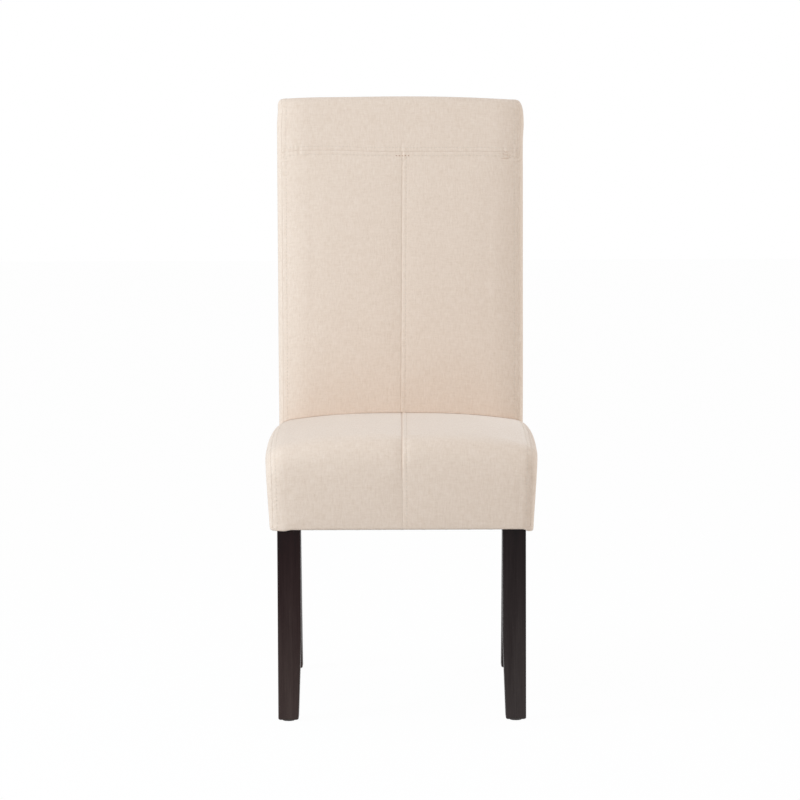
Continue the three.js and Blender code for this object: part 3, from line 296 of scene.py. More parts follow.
# Spacing of the covers' grids
WALL_STEPS = 40
FRONT_ARC_STEPS = 24
TOP_STEPS = 130
REAR_ARC_STEPS = 8
REAR_WALL_STEPS = WALL_STEPS + (FRONT_ARC_STEPS - REAR_ARC_STEPS) // 2
EDGE_STEPS = 10
LOW_FRONT_STEPS = 22
TUCK_STEPS = 6
TOP_ARC_STEPS = 8
ACROSS_SIDE_STEPS = 12
CREST_STEPS = ACROSS_SIDE_STEPS
HEM_ARC_STEPS = 4
HEM_FLAT_STEPS = 3
SOFT_STEPS = 24
SOFTENING = 30
FINEST_STEP = 0.0008
STITCH_STEP = 0.0012
MERGE_DISTANCE = 0.00001
TINY = 1e-9
PLAIN_STEP = 0.0035
COARSEST_STEP = 0.0062
STEP_GROWTH_SHARE = 0.24
SIMULATED_STEP = 0.010


# Curves, forms and grids

def smooth_share(value):
    share = np.clip(value, 0, 1)
    return share * share * (3 - 2 * share)


def bell(distance, width):
    return np.exp(-(distance / width) ** 2)


def graded(marks, coarsest=COARSEST_STEP):
    """Places from the first mark to the last. Each mark is a place and the step beside it."""
    places = []
    for (low, low_step), (high, high_step) in zip(marks, marks[1:]):
        half = (high - low) / 2
        from_low = run_of_steps(half, low_step, coarsest)
        from_high = run_of_steps(half, high_step, coarsest)
        places.extend(low + from_low[:-1])
        places.extend((high - from_high[1:])[::-1])
    return np.array([*places, marks[-1][0]])


def run_of_steps(length, step, coarsest):
    """Steps from nought to a length that grow away from the start, scaled to end on it."""
    places = [0.0]
    while places[-1] < length:
        places.append(places[-1] + min(step + STEP_GROWTH_SHARE * places[-1], max(step, coarsest)))
    return np.array(places) * length / places[-1]


def smoothly_between(at, places, values):
    """Values given along the first axis at some places, read at others on a smooth curve."""
    at = np.clip(at, places[0], places[-1])
    i = np.clip(np.searchsorted(places, at) - 1, 0, len(places) - 2)
    slopes = np.gradient(values, places, axis=0)
    run = places[i + 1] - places[i]
    shape = (-1,) + (1,) * (values.ndim - 1)
    t = ((at - places[i]) / run).reshape(shape)
    run = run.reshape(shape)
    rise = t * t * (3 - 2 * t)
    return (
        values[i] * (1 - rise) + values[i + 1] * rise
        + run * slopes[i] * t * (1 - t) ** 2
        - run * slopes[i + 1] * t * t * (1 - t)
    )


def bent_by(run, blend, slope):
    """How far a line has left the upright, a given run past the start of its blended bend."""
    run = np.maximum(run, 0)
    return np.where(run < blend, slope * run ** 2 / (2 * blend), slope * (run - blend / 2))


LEAN_SLOPE = POST_LEAN / (POST_TOP_LEVEL - LEAN_START - LEAN_BLEND / 2)
KICK_SLOPE = POST_KICK / (KICK_START - FOOT_LEVEL - KICK_BLEND / 2)


def post_front(z):
    lean = bent_by(z - LEAN_START, LEAN_BLEND, LEAN_SLOPE)
    return POST_FRONT_Y + lean + bent_by(KICK_START - z, KICK_BLEND, KICK_SLOPE)


def post_depth(z):
    upper = np.interp(z, [LEAN_START, POST_TOP_LEVEL], [POST_DEPTH, POST_TOP_DEPTH])
    lower = np.interp(z, [FOOT_LEVEL, KICK_START], [POST_FOOT_DEPTH, POST_DEPTH])
    return np.where(z > LEAN_START, upper, lower)


def edge_drop(distance, radius):
    """How far an edge of this radius has drawn back, at a distance from the side."""
    short = np.clip(radius - distance, 0, radius)
    return radius - np.sqrt(radius ** 2 - short ** 2)


def points_of(x, y, z):
    return np.stack(np.broadcast_arrays(x, y, z), axis=-1)


# Short ways to make and set things in Blender

def with_settings(target, **settings):
    """The target, once each of these settings has its value."""
    for name, value in settings.items():
        setattr(target, name, value)
    return target


def linked(name, data):
    """A new object of the scene."""
    made = bpy.data.objects.new(name, data)
    bpy.context.scene.collection.objects.link(made)
    return made


def modify(piece, kind, **settings):
    return with_settings(piece.modifiers.new(kind.lower(), kind), **settings)


# The seat's form

def seat_crown(x, y):
    side_fall = SEAT_SIDE_FALL * np.abs(2 * x / SEAT_WIDTH) ** SEAT_SIDE_FALL_POWER
    front_fall = SEAT_FRONT_FALL * np.maximum(0, 1 - y / SEAT_PEAK_Y) ** 2
    rear_share = np.maximum(0, (y - SEAT_PEAK_Y) / (SEAT_DEPTH - SEAT_PEAK_Y))
    return SEAT_HEIGHT - side_fall - front_fall - SEAT_REAR_FALL * rear_share ** 2


def seat_drawn(x, y, z):
    """The sides draw in towards the lower edge, and a little towards the front and rear corners."""
    height = SEAT_WIDEST_LEVEL - SEAT_LOWER_EDGE
    low = SEAT_SIDE_TAPER * np.maximum(0, SEAT_WIDEST_LEVEL - z) / height
    plan = SEAT_PLAN_DRAW * (2 * y / SEAT_DEPTH - 1) ** 2
    return x * (1 - 2 * (low + plan) / SEAT_WIDTH)


def side_drop(x, side):
    """The seat's sides round off on a quarter of an ellipse, the left one more fully."""
    width = SEAT_ROUND_WIDTHS[side]
    return edge_drop(SEAT_WIDTH / 2 - np.abs(x), width) * SEAT_ROUND_DROPS[side] / width


def shares(steps):
    """A column of even shares from nought to one."""
    return np.linspace(0, 1, steps + 1)[:, None]


def softened(points):
    """Rows of points whose bends are spread out. The first and last rows stay."""
    points = points.copy()
    for _ in range(SOFTENING):
        points[1:-1] = (points[:-2] + 2 * points[1:-1] + points[2:]) / 4
    return points


def seat_section(x, side):
    """Points up the front, over the seat and down its rear, for a grid of X places."""
    ends = np.cumsum([WALL_STEPS + 1, FRONT_ARC_STEPS, TOP_STEPS, REAR_ARC_STEPS])
    wall_x, front_x, top_x, rear_x, fall_x = np.split(x, ends)
    low = SEAT_LOWER_EDGE + LOWER_EDGE_RADIUS
    rear_y = SEAT_DEPTH - SEAT_REAR_RADIUS

    def front_centre(x):
        drop = side_drop(x, side)
        y = drop + SEAT_FRONT_RADIUS
        return drop, y, seat_crown(x, y) - y

    def rear_centre_z(x):
        return seat_crown(x, rear_y) - side_drop(x, side) - SEAT_REAR_RADIUS

    def arc(x, centre_y, centre_z, radius, angle):
        return points_of(x, centre_y - radius * np.cos(angle), centre_z + radius * np.sin(angle))

    share = shares(WALL_STEPS)
    drop, _, centre_z = front_centre(wall_x)
    wall_y = drop + SEAT_FRONT_DRAW * (1 - share) ** 2
    wall = points_of(wall_x, wall_y, low + (centre_z - low) * share)
    angle = shares(FRONT_ARC_STEPS)[1:] * math.pi / 2
    front_arc = arc(front_x, *front_centre(front_x)[1:], SEAT_FRONT_RADIUS, angle)
    drop, centre_y, _ = front_centre(top_x)
    top_y = centre_y + (rear_y - centre_y) * shares(TOP_STEPS)[1:]
    top = points_of(top_x, top_y, seat_crown(top_x, top_y) - drop)
    angle = (1 + shares(REAR_ARC_STEPS)[1:]) * math.pi / 2
    rear_arc = arc(rear_x, rear_y, rear_centre_z(rear_x), SEAT_REAR_RADIUS, angle)
    fall_z = rear_centre_z(fall_x)
    rear_wall = points_of(fall_x, SEAT_DEPTH, fall_z + (low - fall_z) * shares(REAR_WALL_STEPS)[1:])
    section = np.concatenate([wall, front_arc, top, rear_arc, rear_wall])
    soft = slice(WALL_STEPS - SOFT_STEPS // 2, WALL_STEPS + FRONT_ARC_STEPS + SOFT_STEPS)
    section[soft] = softened(section[soft])
    section[..., 0] = seat_drawn(*np.moveaxis(section, -1, 0))
    return section


# The back's form

def back_drawn(x, z):
    """The back narrows evenly from its top to its lower edge."""
    climb = (z - SEAT_LOWER_EDGE) / (CHAIR_HEIGHT - SEAT_LOWER_EDGE)
    return x * (BACK_LOWER_WIDTH + (BACK_TOP_WIDTH - BACK_LOWER_WIDTH) * climb) / BACK_TOP_WIDTH


def back_distance(x):
    return BACK_TOP_WIDTH / 2 - np.abs(x)


def climb_to_yoke(z):
    """The share of the way from the seat up to the yoke seam."""
    return np.clip((z - SEAT_HEIGHT) / LOWER_BACK_RUN, 0, 1)


def back_front_y(x, z):
    distance = back_distance(x)
    puff = BACK_PUFF * np.sin(math.pi * climb_to_yoke(z)) * np.minimum(1, distance / BACK_SHOULDER_WIDTH)
    shoulder = BACK_SHOULDER_DROP * np.maximum(0, 1 - distance / BACK_SHOULDER_WIDTH) ** 2
    return post_front(z) - BACK_BUILD_UP - puff + shoulder + edge_drop(distance, BACK_CORNER_RADIUS)


def back_rear_y(x, z):
    rear = post_front(z) + post_depth(z) + COVER_BEHIND_POST
    return rear - edge_drop(back_distance(x), BACK_CORNER_RADIUS)


def back_crest(x):
    fall = BACK_TOP_FALL * (2 * x / BACK_TOP_WIDTH) ** 2
    return CHAIR_HEIGHT - fall - edge_drop(back_distance(x), BACK_CORNER_RADIUS)


def back_point(x, y, z):
    return points_of(back_drawn(x, z), y, z)


def back_arc(x, surface, radius, turn):
    """The round edge at the top of the back's front or rear surface, from below upwards."""
    angle = shares(TOP_ARC_STEPS) * math.pi / 2
    z = back_crest(x) - radius * (1 - np.sin(angle))
    return back_point(x, surface(x, z) + turn * radius * (1 - np.cos(angle)), z)


def seat_contact(x, side):
    """The level at which the back's front comes down on the seat, for the back's X places."""
    x, y, _ = np.moveaxis(back_point(x, back_front_y(x, SEAT_HEIGHT), SEAT_HEIGHT), -1, 0)
    widest = seat_drawn(SEAT_WIDTH / 2, y, SEAT_WIDEST_LEVEL)
    seat_x = x * SEAT_WIDTH / 2 / widest
    return seat_crown(seat_x, y) - side_drop(seat_x, side) + SEAT_CLEARANCE


def back_tuck(x, side):
    """The back's front where it turns in above the seat, from the inside outwards."""
    angle = shares(TUCK_STEPS) * math.pi / 2
    level = seat_contact(x, side) + BACK_TUCK_RADIUS
    z = level - BACK_TUCK_RADIUS * np.cos(angle)
    return back_point(x, back_front_y(x, level) + BACK_TUCK_RADIUS * (1 - np.sin(angle)), z)


# How the seams, the top and the sides of the back wander

def bumps(at, table):
    return sum(height * bell(at - place, width) for place, height, width in table)


def wandering(points, side):
    """Moves the back's points, made at the right, so that its seams and edges stray a little."""
    x, y, z = np.moveaxis(points, -1, 0)
    rise = bumps(side * x, YOKE_SEAM_BUMPS) * bell(z - YOKE_SEAM_LEVEL, YOKE_SEAM_BLEND)
    above = smooth_share((CHAIR_HEIGHT - z) / (CHAIR_HEIGHT - YOKE_SEAM_LEVEL))
    lean = side * MIDDLE_SEAM_LEAN * climb_to_yoke(z) * above * bell(x, MIDDLE_SEAM_BLEND)
    outer = smooth_share((x - SIDE_BUMPS_FROM) / (BACK_TOP_WIDTH / 2 - SIDE_BUMPS_FROM))
    stray = outer * bumps(z, SIDE_BUMPS[side])
    near_top = smooth_share(1 - (CHAIR_HEIGHT - z) / TOP_BUMPS_RUN)
    rise = rise + near_top * bumps(side * x, TOP_BUMPS)
    return points_of(x + lean + stray, y + post_front(z + rise) - post_front(z), z + rise)


# Grids of cloth. The last axis holds a point, its outward normal and its place in the weave.

POINT = slice(0, 3)
NORMAL = slice(3, 6)
WEAVE = slice(6, 8)
ACROSS, ALONG = 6, 7


def lengths_along(points):
    """How far each row of points lies from the first, measured along the middle column."""
    steps = np.linalg.norm(np.diff(points[:, points.shape[1] // 2], axis=0), axis=1)
    return np.concatenate([[0.0], np.cumsum(steps)])


def cloth_grid(points, inside, weave=None):
    """A grid of cloth over a form, whose normals face away from a point inside that form."""
    normals = np.cross(np.gradient(points, axis=1), np.gradient(points, axis=0))
    normals /= np.maximum(np.linalg.norm(normals, axis=-1, keepdims=True), TINY)
    if np.sum(normals * (points - np.array(inside))) < 0:
        normals = -normals
    if weave is None:
        weave = (points[..., 0], lengths_along(points)[:, None])
    weave = np.stack(np.broadcast_arrays(*weave), axis=-1)
    return np.concatenate([points, normals, weave], axis=-1)


def raised(grid, height):
    """The grid moved out along its normals."""
    lifted = grid.copy()
    lifted[..., POINT] += grid[..., NORMAL] * np.asarray(height)[..., None]
    return lifted


def mirrored(grid):
    """The grid on the other side of the chair."""
    flipped = grid.copy()
    flipped[..., [0, 3, ACROSS]] *= -1
    return flipped


def with_lips(grid, *edges):
    """The grid with the cloth beside its seams turned in. Each edge is an axis and an end of it."""
    for axis, end in edges:
        lip = np.take(grid, [end], axis=axis)
        lip[..., POINT] -= lip[..., NORMAL] * SEAM_LIP_DEPTH
        grid = np.concatenate([lip, grid] if end == 0 else [grid, lip], axis=axis)
    return grid


FIRST_ROW, LAST_ROW = (0, 0), (0, -1)
FIRST_COLUMN, LAST_COLUMN = (1, 0), (1, -1)


POSTS = [
    (sorted((side * inner, side * outer)), depth)
    for inner, outer, depth in (
        (LEG_INNER_X, LEG_OUTER_X, (LEG_FRONT_Y, LEG_FRONT_Y + LEG_WIDTH)),
        (POST_INNER_X, POST_OUTER_X, (POST_LOW_FRONT_Y, POST_LOW_REAR_Y)),
    )
    for side in SIDES.values()
]


def room_to_posts(points, inward, deepest):
    """How far a fold may run in from each point of an edge before it meets a leg or post."""
    room = np.full(len(points), float(deepest))
    for (low_x, high_x), (low_y, high_y) in POSTS:
        corners = np.array([[low_x, low_y], [high_x, high_y]])
        corners += np.array([[-FOLD_CLEARANCE], [FOLD_CLEARANCE]])
        speed = np.where(np.abs(inward) < TINY, TINY, inward)
        reached = (corners[:, None] - points[None]) / speed[None]
        enter = reached.min(axis=0).max(axis=1)
        leave = reached.max(axis=0).min(axis=1)
        hit = (enter < leave) & (leave > 0)
        room = np.where(hit, np.minimum(room, enter), room)
    return np.maximum(room, LEAST_FOLD)


def hem(edge, radius, deepest=FOLD_DEPTH, beyond=-1, layer=0):
    """Cloth rounded under a lower edge and folded in, over this many other folds.

    The edge is one row of a grid.
    """
    inward = -edge[:, NORMAL] * np.array([1, 1, 0])
    inward /= np.linalg.norm(inward, axis=1, keepdims=True)
    start = edge[:, POINT] + inward * radius
    room = room_to_posts(start[:, :2], inward[:, :2], deepest)
    angle = shares(HEM_ARC_STEPS) * math.pi / 2
    flat = shares(HEM_FLAT_STEPS)[1:]
    run = np.concatenate([radius * (1 - np.cos(angle)) + 0 * room, radius + room * flat])
    over = LAYER_RISE * layer * np.ones_like(flat)
    fall = np.concatenate([radius * np.sin(angle), radius - over])
    turn = np.concatenate([angle, np.full_like(flat, math.pi / 2)])[..., None]
    down = np.array([0.0, 0.0, -1.0])
    points = edge[None, :, POINT] + inward * run[..., None] + down * fall[..., None]
    normals = -inward * np.cos(turn) + down * np.sin(turn)
    weave = np.repeat(edge[None, :, WEAVE], len(run), axis=0)
    weave[..., 1] += beyond * (run + fall)
    return np.concatenate([points, np.broadcast_to(normals, points.shape), weave], axis=-1)


def seam_relief(distance, along, seam, side=0, depth=SEAM_CREASE_DEPTH, stitched=BACK_STITCHED_SHARE):
    """The height of the cloth beside a seam, by the distance to it and the place along it."""
    near = np.abs(distance)
    crease = -depth * bell(near, SEAM_CREASE_WIDTH)
    band = SEAM_BAND_RISE * smooth_share((SEAM_BAND_WIDTH - near) / (SEAM_BAND_WIDTH / 2))
    row = -STITCH_DIMPLE_DEPTH * bell(near - STITCH_ROW_OFFSET, STITCH_DIMPLE_WIDTH)
    phase = SEAM_PHASES[seam] + SIDE_PHASE * side
    waves = sum(
        np.sin(2 * math.pi * along / pitch + order + phase) for order, pitch in enumerate(PUCKER_PITCHES)
    )
    pucker = PUCKER_RISE * waves * bell(near, PUCKER_REACH) * (1 - bell(near, SEAM_CREASE_WIDTH))
    return crease + (band + row) * stitched + pucker


def side_relief(distance, along, side, seam="side"):
    return seam_relief(distance, along, seam, side, SIDE_CREASE_DEPTH, SIDE_STITCHED_SHARE)


def fan_of_folds(grid):
    """The height of the folds and the dent at the right end of the yoke seam."""
    leftwards = FAN_X - grid[..., 0]
    up = grid[..., 2] - FAN_LEVEL
    far = np.hypot(leftwards, up)
    turn = np.arctan2(up, leftwards)
    folds = sum(bell(far * np.sin(turn - fold), FAN_FOLD_WIDTH) for fold in FAN_TURNS)
    from_dent = np.hypot(grid[..., 0] - FAN_DENT_X, grid[..., 2] - FAN_DENT_LEVEL)
    dent = FAN_DENT * bell(from_dent, FAN_DENT_REACH)
    return -FAN_FOLD_DEPTH * folds * bell(far - FAN_MIDDLE, FAN_RUN) - dent


# Cloth simulation

CLOTH_FRAMES = 20
CLOTH_SETTINGS = {
    "mass": 0.25,
    "tension_stiffness": 40.0,
    "compression_stiffness": 40.0,
    "bending_stiffness": 2.0,
    "use_pressure": True,
    "uniform_pressure_force": 4.0,
}
SIMULATED_CAP = 0.0035
BACK_FREE_SHARE = 0.7
CONTACT_RUN = 0.060


def faces_of(rows, columns):
    first = (np.arange(rows - 1)[:, None] * columns + np.arange(columns - 1)).ravel()
    return np.stack([first, first + 1, first + columns + 1, first + columns], axis=1)


def simulated_rise(points, normals):
    """How far each point of a sheet, pinned at its edges, rises when padding presses it out."""
    rows, columns = points.shape[:2]
    flat = points.reshape(-1, 3)
    mesh = bpy.data.meshes.new("settling")
    faces = outward_faces(faces_of(rows, columns), flat, normals.reshape(-1, 3))
    mesh.from_pydata(flat.tolist(), [], faces.tolist())
    settling = linked("settling", mesh)
    held = np.zeros((rows, columns), bool)
    held[[0, -1]] = True
    held[:, [0, -1]] = True
    group = settling.vertex_groups.new(name="held")
    group.add(np.flatnonzero(held).tolist(), 1, "REPLACE")
    cloth = modify(settling, "CLOTH")
    with_settings(cloth.settings, vertex_group_mass=group.name, **CLOTH_SETTINGS)
    cloth.settings.effector_weights.gravity = 0
    cloth.collision_settings.use_collision = False
    for number in range(1, CLOTH_FRAMES + 1):
        bpy.context.scene.frame_set(number)
    evaluated = settling.evaluated_get(bpy.context.evaluated_depsgraph_get())
    settled = np.array([vertex.co for vertex in evaluated.data.vertices]).reshape(points.shape)
    bpy.data.objects.remove(settling)
    bpy.context.scene.frame_set(1)
    rise = np.maximum(0, np.sum((settled - points) * normals, axis=-1))
    return SIMULATED_CAP * np.tanh(rise / SIMULATED_CAP)


def evenly_spaced(places, step):
    """Which of the places to keep so that they lie about a step apart, both ends among them."""
    wanted = np.linspace(places[0], places[-1], max(2, round((places[-1] - places[0]) / step)) + 1)
    return np.unique([np.argmin(np.abs(places - place)) for place in wanted])


def pressed_out(grid, free=1.0):
    """The grid with its padding pressed out between the seams, by a simulation of fewer points.

    Free is the share of the rise that each point may take up.
    """
    along = lengths_along(grid[..., POINT])
    across = lengths_along(np.swapaxes(grid[..., POINT], 0, 1))
    rows = evenly_spaced(along, SIMULATED_STEP)
    columns = evenly_spaced(across, SIMULATED_STEP)
    coarse = grid[np.ix_(rows, columns)]
    rise = simulated_rise(coarse[..., POINT], coarse[..., NORMAL])
    rise = smoothly_between(along, along[rows], rise)
    rise = smoothly_between(across, across[columns], rise.T).T
    return raised(grid, np.maximum(rise, 0) * free)


# Meshes

def outward_faces(faces, places, normals):
    """The faces of a grid, turned to face along its normals."""
    corner = places[faces]
    facing = np.cross(corner[:, 2] - corner[:, 0], corner[:, 3] - corner[:, 1])
    return faces if np.sum(facing * normals[faces[:, 0]]) > 0 else faces[:, ::-1]


def object_of(name, places, faces, material):
    """A smooth mesh object of points whose Y is counted from the seat's front face."""
    mesh = bpy.data.meshes.new(name)
    places = places + np.array([0.0, SEAT_FRONT_Y, 0.0])
    mesh.from_pydata(places.tolist(), [], faces)
    mesh.shade_smooth()
    mesh.materials.append(material)
    return linked(name, mesh)


def cloth_panel(name, grids, material):
    """One panel of cloth from grids whose shared edges are merged."""
    faces = []
    count = 0
    for grid in grids:
        flat = grid.reshape(-1, 8)
        quads = faces_of(*grid.shape[:2])
        faces.append(outward_faces(quads, flat[:, POINT], flat[:, NORMAL]) + count)
        count += len(flat)
    flat = np.concatenate([grid.reshape(-1, 8) for grid in grids])
    keys = np.round(flat[:, POINT] / MERGE_DISTANCE).astype(np.int64)
    _, first, merged = np.unique(keys, axis=0, return_index=True, return_inverse=True)
    quads = merged.reshape(-1)[np.concatenate(faces)].tolist()
    quads = [quad for quad in map(tidy_face, quads) if len(set(quad)) > 2]
    made = object_of(name, flat[first, POINT], quads, material)
    attribute = made.data.attributes.new("weave", "FLOAT_VECTOR", "POINT")
    weave = np.zeros((len(first), 3), np.float32)
    weave[:, :2] = flat[first, WEAVE]
    attribute.data.foreach_set("vector", weave.ravel())
    return made


def tidy_face(quad):
    """A face without the corners that merging brought together."""
    return [corner for i, corner in enumerate(quad) if corner != quad[i - 1]]


# The seat's covers

def fan_marks(end):
    """Marks of fine steps before an end of a graded run."""
    return [(end - FAN_ROOM * i / FAN_MARKS, FAN_STEP) for i in range(FAN_MARKS, 0, -1)]


def half_columns(reach):
    """Places from beside a middle seam out to beside a side seam."""
    return graded([
        (SEAM_GAP, FINEST_STEP),
        (STITCH_ROW_OFFSET, STITCH_STEP),
        *fan_marks(reach),
        (reach, FINEST_STEP),
    ])


def edge_columns(radius, inset):
    """Distances from the side, from beside a seam at this inset round the edge to the side."""
    start = np.arcsin(1 - (inset - SEAM_GAP) / radius)
    angle = start + (math.pi / 2 - start) * shares(EDGE_STEPS).T
    return radius * (1 - np.sin(angle))


def seat_seam_inset():
    """How far the side seam lies from the side, for each row of the seat's section."""
    middle = np.ones((FRONT_ARC_STEPS + TOP_STEPS + REAR_ARC_STEPS, 1))
    climb = np.concatenate([shares(WALL_STEPS), middle, shares(REAR_WALL_STEPS)[:-1][::-1]])
    return SEAT_SEAM_LOWER_INSET + (SEAT_SEAM_TOP_INSET - SEAT_SEAM_LOWER_INSET) * climb


def swell(up, along, height):
    """How far a side stands out in its middle, by shares of the way up and along it."""
    return height * np.sin(math.pi * up[..., 0]) ** 2 * np.sin(math.pi * along[..., 0]) ** 2


def seat_patch_of_side(loop):
    """Fills the loop at the seat's right side, which runs up the front and down the rear."""
    rise = WALL_STEPS + FRONT_ARC_STEPS // 2
    front = loop[:rise + 1]
    rear = loop[::-1][:rise + 1]
    top = loop[rise:len(loop) - rise]
    up = shares(rise)[..., None]
    along = shares(len(top) - 1).T[..., None]
    bottom = front[0] * (1 - along) + rear[0] * along
    ruled = front[:, None] * (1 - along) + rear[:, None] * along + bottom * (1 - up) + top * up
    corners = (front[0] * (1 - up) + front[-1] * up) * (1 - along)
    corners = corners + (rear[0] * (1 - up) + rear[-1] * up) * along
    patch = ruled - corners
    patch[..., 0] = seat_drawn(SEAT_WIDTH / 2, patch[..., 1], patch[..., 2])
    patch[..., 0] += swell(up, along, SEAT_SIDE_SWELL)
    patch[:, 0] = front
    patch[:, -1] = rear
    patch[-1] = top
    return patch


def seat_middle_fade(points):
    """The seat's middle seam flattens out towards the front's lower edge."""
    on_front = 1 - smooth_share((points[..., 1] - SEAT_FRONT_RADIUS) / SEAT_FRONT_RADIUS)
    low = smooth_share((SEAM_FADE_TOP - points[..., 2]) / SEAM_FADE_RUN)
    return 1 - (1 - SEAM_FADED_SHARE) * low * on_front


def hung_low(grid, side):
    """The grid with the front's lower edge a little lower beside the leg, and higher elsewhere."""
    x, y, z = np.moveaxis(grid[..., POINT], -1, 0)
    beside = smooth_share((x - LEG_DIP_STARTS[side]) / LEG_DIP_RUN)
    near_front = smooth_share((LEG_DIP_END - y) / LEG_DIP_RUN)
    near_edge = smooth_share(1 - (z - SEAT_LOWER_EDGE - LOWER_EDGE_RADIUS) / LEG_DIP_HEIGHT)
    hung = grid.copy()
    hung[..., 2] += (LOWER_EDGE_LIFT - LEG_DIPS[side] * beside) * near_front * near_edge
    return hung


def seat_half(side):
    """The grids of one half of the seat, made at the right: its main panel and its side panel."""
    inset = seat_seam_inset()
    columns = half_columns(SEAT_REACH)[None, :]
    seam_x = SEAT_WIDTH / 2 - inset
    main_x = columns * (seam_x - SEAM_GAP) / SEAT_REACH
    edge_x = SEAT_WIDTH / 2 - edge_columns(SEAT_ROUND_WIDTHS[side], inset)
    form = seat_section(np.concatenate([main_x, edge_x], axis=1), side)
    form[..., 0] += SEAT_MIDDLE_SEAM_SHIFT * bell(form[..., 0], MIDDLE_SEAM_BLEND) * side
    main, edge = np.split(cloth_grid(form, SEAT_INSIDE), [columns.size], axis=1)
    before_back = (POST_FRONT_Y - BACK_BUILD_UP - main[..., 1]) / CONTACT_RUN
    main = pressed_out(main, smooth_share(before_back))
    along = main[..., ALONG]
    front_top = bell(along - along[WALL_STEPS + FRONT_ARC_STEPS // 2, 0], VALLEY_RUN)
    middle = seam_relief(main_x, along, "seat middle", side, SEAT_CREASE_DEPTH, max(side, 0))
    middle = middle - VALLEY_DEPTH * front_top * bell(main_x, VALLEY_WIDTH)
    main = raised(main, middle * seat_middle_fade(main) + side_relief(seam_x - main_x, along, side))
    settle = 1 - smooth_share(shares(EDGE_STEPS)).T
    edge = raised(edge, side_relief(edge_x - seam_x, edge[..., ALONG], side) * settle)
    edge[..., WEAVE] = form[:, columns.size:, 1:]
    patch = seat_patch_of_side(edge[:, -1, POINT])
    face = cloth_grid(patch, SEAT_INSIDE, (patch[..., 1], patch[..., 2]))
    main, edge, face = (hung_low(grid, side) for grid in (main, edge, face))
    front_hem = hem(main[0], LOWER_EDGE_RADIUS)
    rear_hem = hem(main[-1], LOWER_EDGE_RADIUS, beyond=1)
    layers = ((edge[0], 1), (face[0], 2), (edge[-1], 1))
    side_hems = [hem(row, LOWER_EDGE_RADIUS, layer=layer) for row, layer in layers]
    return {
        "main": main,
        "main panel": [with_lips(main, FIRST_COLUMN, LAST_COLUMN), front_hem, rear_hem],
        "side panel": [with_lips(edge, FIRST_COLUMN), face, *side_hems],
    }


# The back's covers

def back_levels():
    """Heights on the back's front below the yoke seam, and on the yoke up to its rounded top."""
    below = graded([(0, PLAIN_STEP), *fan_marks(LOWER_BACK_RUN), (LOWER_BACK_RUN, FINEST_STEP)])
    above = graded([(0, FINEST_STEP), (STITCH_ROW_OFFSET, STITCH_STEP), (YOKE_RUN, PLAIN_STEP)])
    return below[:, None], above[:, None]


def back_section(x, side):
    """The back's front below and above the yoke seam, and its rear, for one row of X places."""
    below, above = back_levels()
    start = seat_contact(x, side) + BACK_TUCK_RADIUS
    z = start + (YOKE_SEAM_LEVEL - YOKE_SEAM_GAP - start) * below[1:] / LOWER_BACK_RUN
    lower = np.concatenate([back_tuck(x, side), back_point(x, back_front_y(x, z), z)])
    start = YOKE_SEAM_LEVEL + YOKE_SEAM_GAP
    z = start + (back_crest(x) - BACK_TOP_FRONT_RADIUS - start) * above[:-1] / YOKE_RUN
    rise = back_point(x, back_front_y(x, z), z)
    front_arc = back_arc(x, back_front_y, BACK_TOP_FRONT_RADIUS, 1)
    rear_arc = back_arc(x, back_rear_y, BACK_TOP_REAR_RADIUS, -1)
    crest = front_arc[-1] + (rear_arc[-1] - front_arc[-1]) * shares(CREST_STEPS)[1:, :, None]
    return lower, np.concatenate([rise, front_arc, crest]), rear_arc


def back_rear_wall(x, levels):
    """The back's rear from the lower edge up to its rounded top, at shares of the way up."""
    low = SEAT_LOWER_EDGE + BACK_LOWER_RADIUS
    high = back_crest(x) - BACK_TOP_REAR_RADIUS
    z = low + (high - low) * levels
    return back_point(x, back_rear_y(x, z), z)


def low_front_of_side(tuck_start):
    """The side panel's front edge from the lower edge up behind the seat to its own tuck."""
    low = SEAT_LOWER_EDGE + BACK_LOWER_RADIUS
    z = low + (tuck_start[2] - low) * shares(LOW_FRONT_STEPS)[:-1, 0]
    behind_seat = SEAT_DEPTH + BEHIND_SEAT
    turn = smooth_share((z - SEAT_REAR_ARC_LEVEL) / (tuck_start[2] - SEAT_REAR_ARC_LEVEL))
    return back_point(BACK_TOP_WIDTH / 2, behind_seat + (tuck_start[1] - behind_seat) * turn, z)


def back_side(front, rear):
    """The back's right side, ruled from its front edge to its rear edge."""
    along = shares(ACROSS_SIDE_STEPS).T[..., None]
    patch = front[:, None] * (1 - along) + rear[:, None] * along
    up = shares(len(patch) - 1)[..., None]
    patch[..., 0] = back_drawn(BACK_TOP_WIDTH / 2, patch[..., 2]) + swell(up, along, BACK_SIDE_SWELL)
    patch[:, 0] = front
    patch[:, -1] = rear
    return patch


def along_posts(grid):
    """Places in the weave of the back's side, which is cut along the posts."""
    y, z = np.moveaxis(grid[..., 1:3], -1, 0)
    return np.stack([y - post_front(z), z], axis=-1)


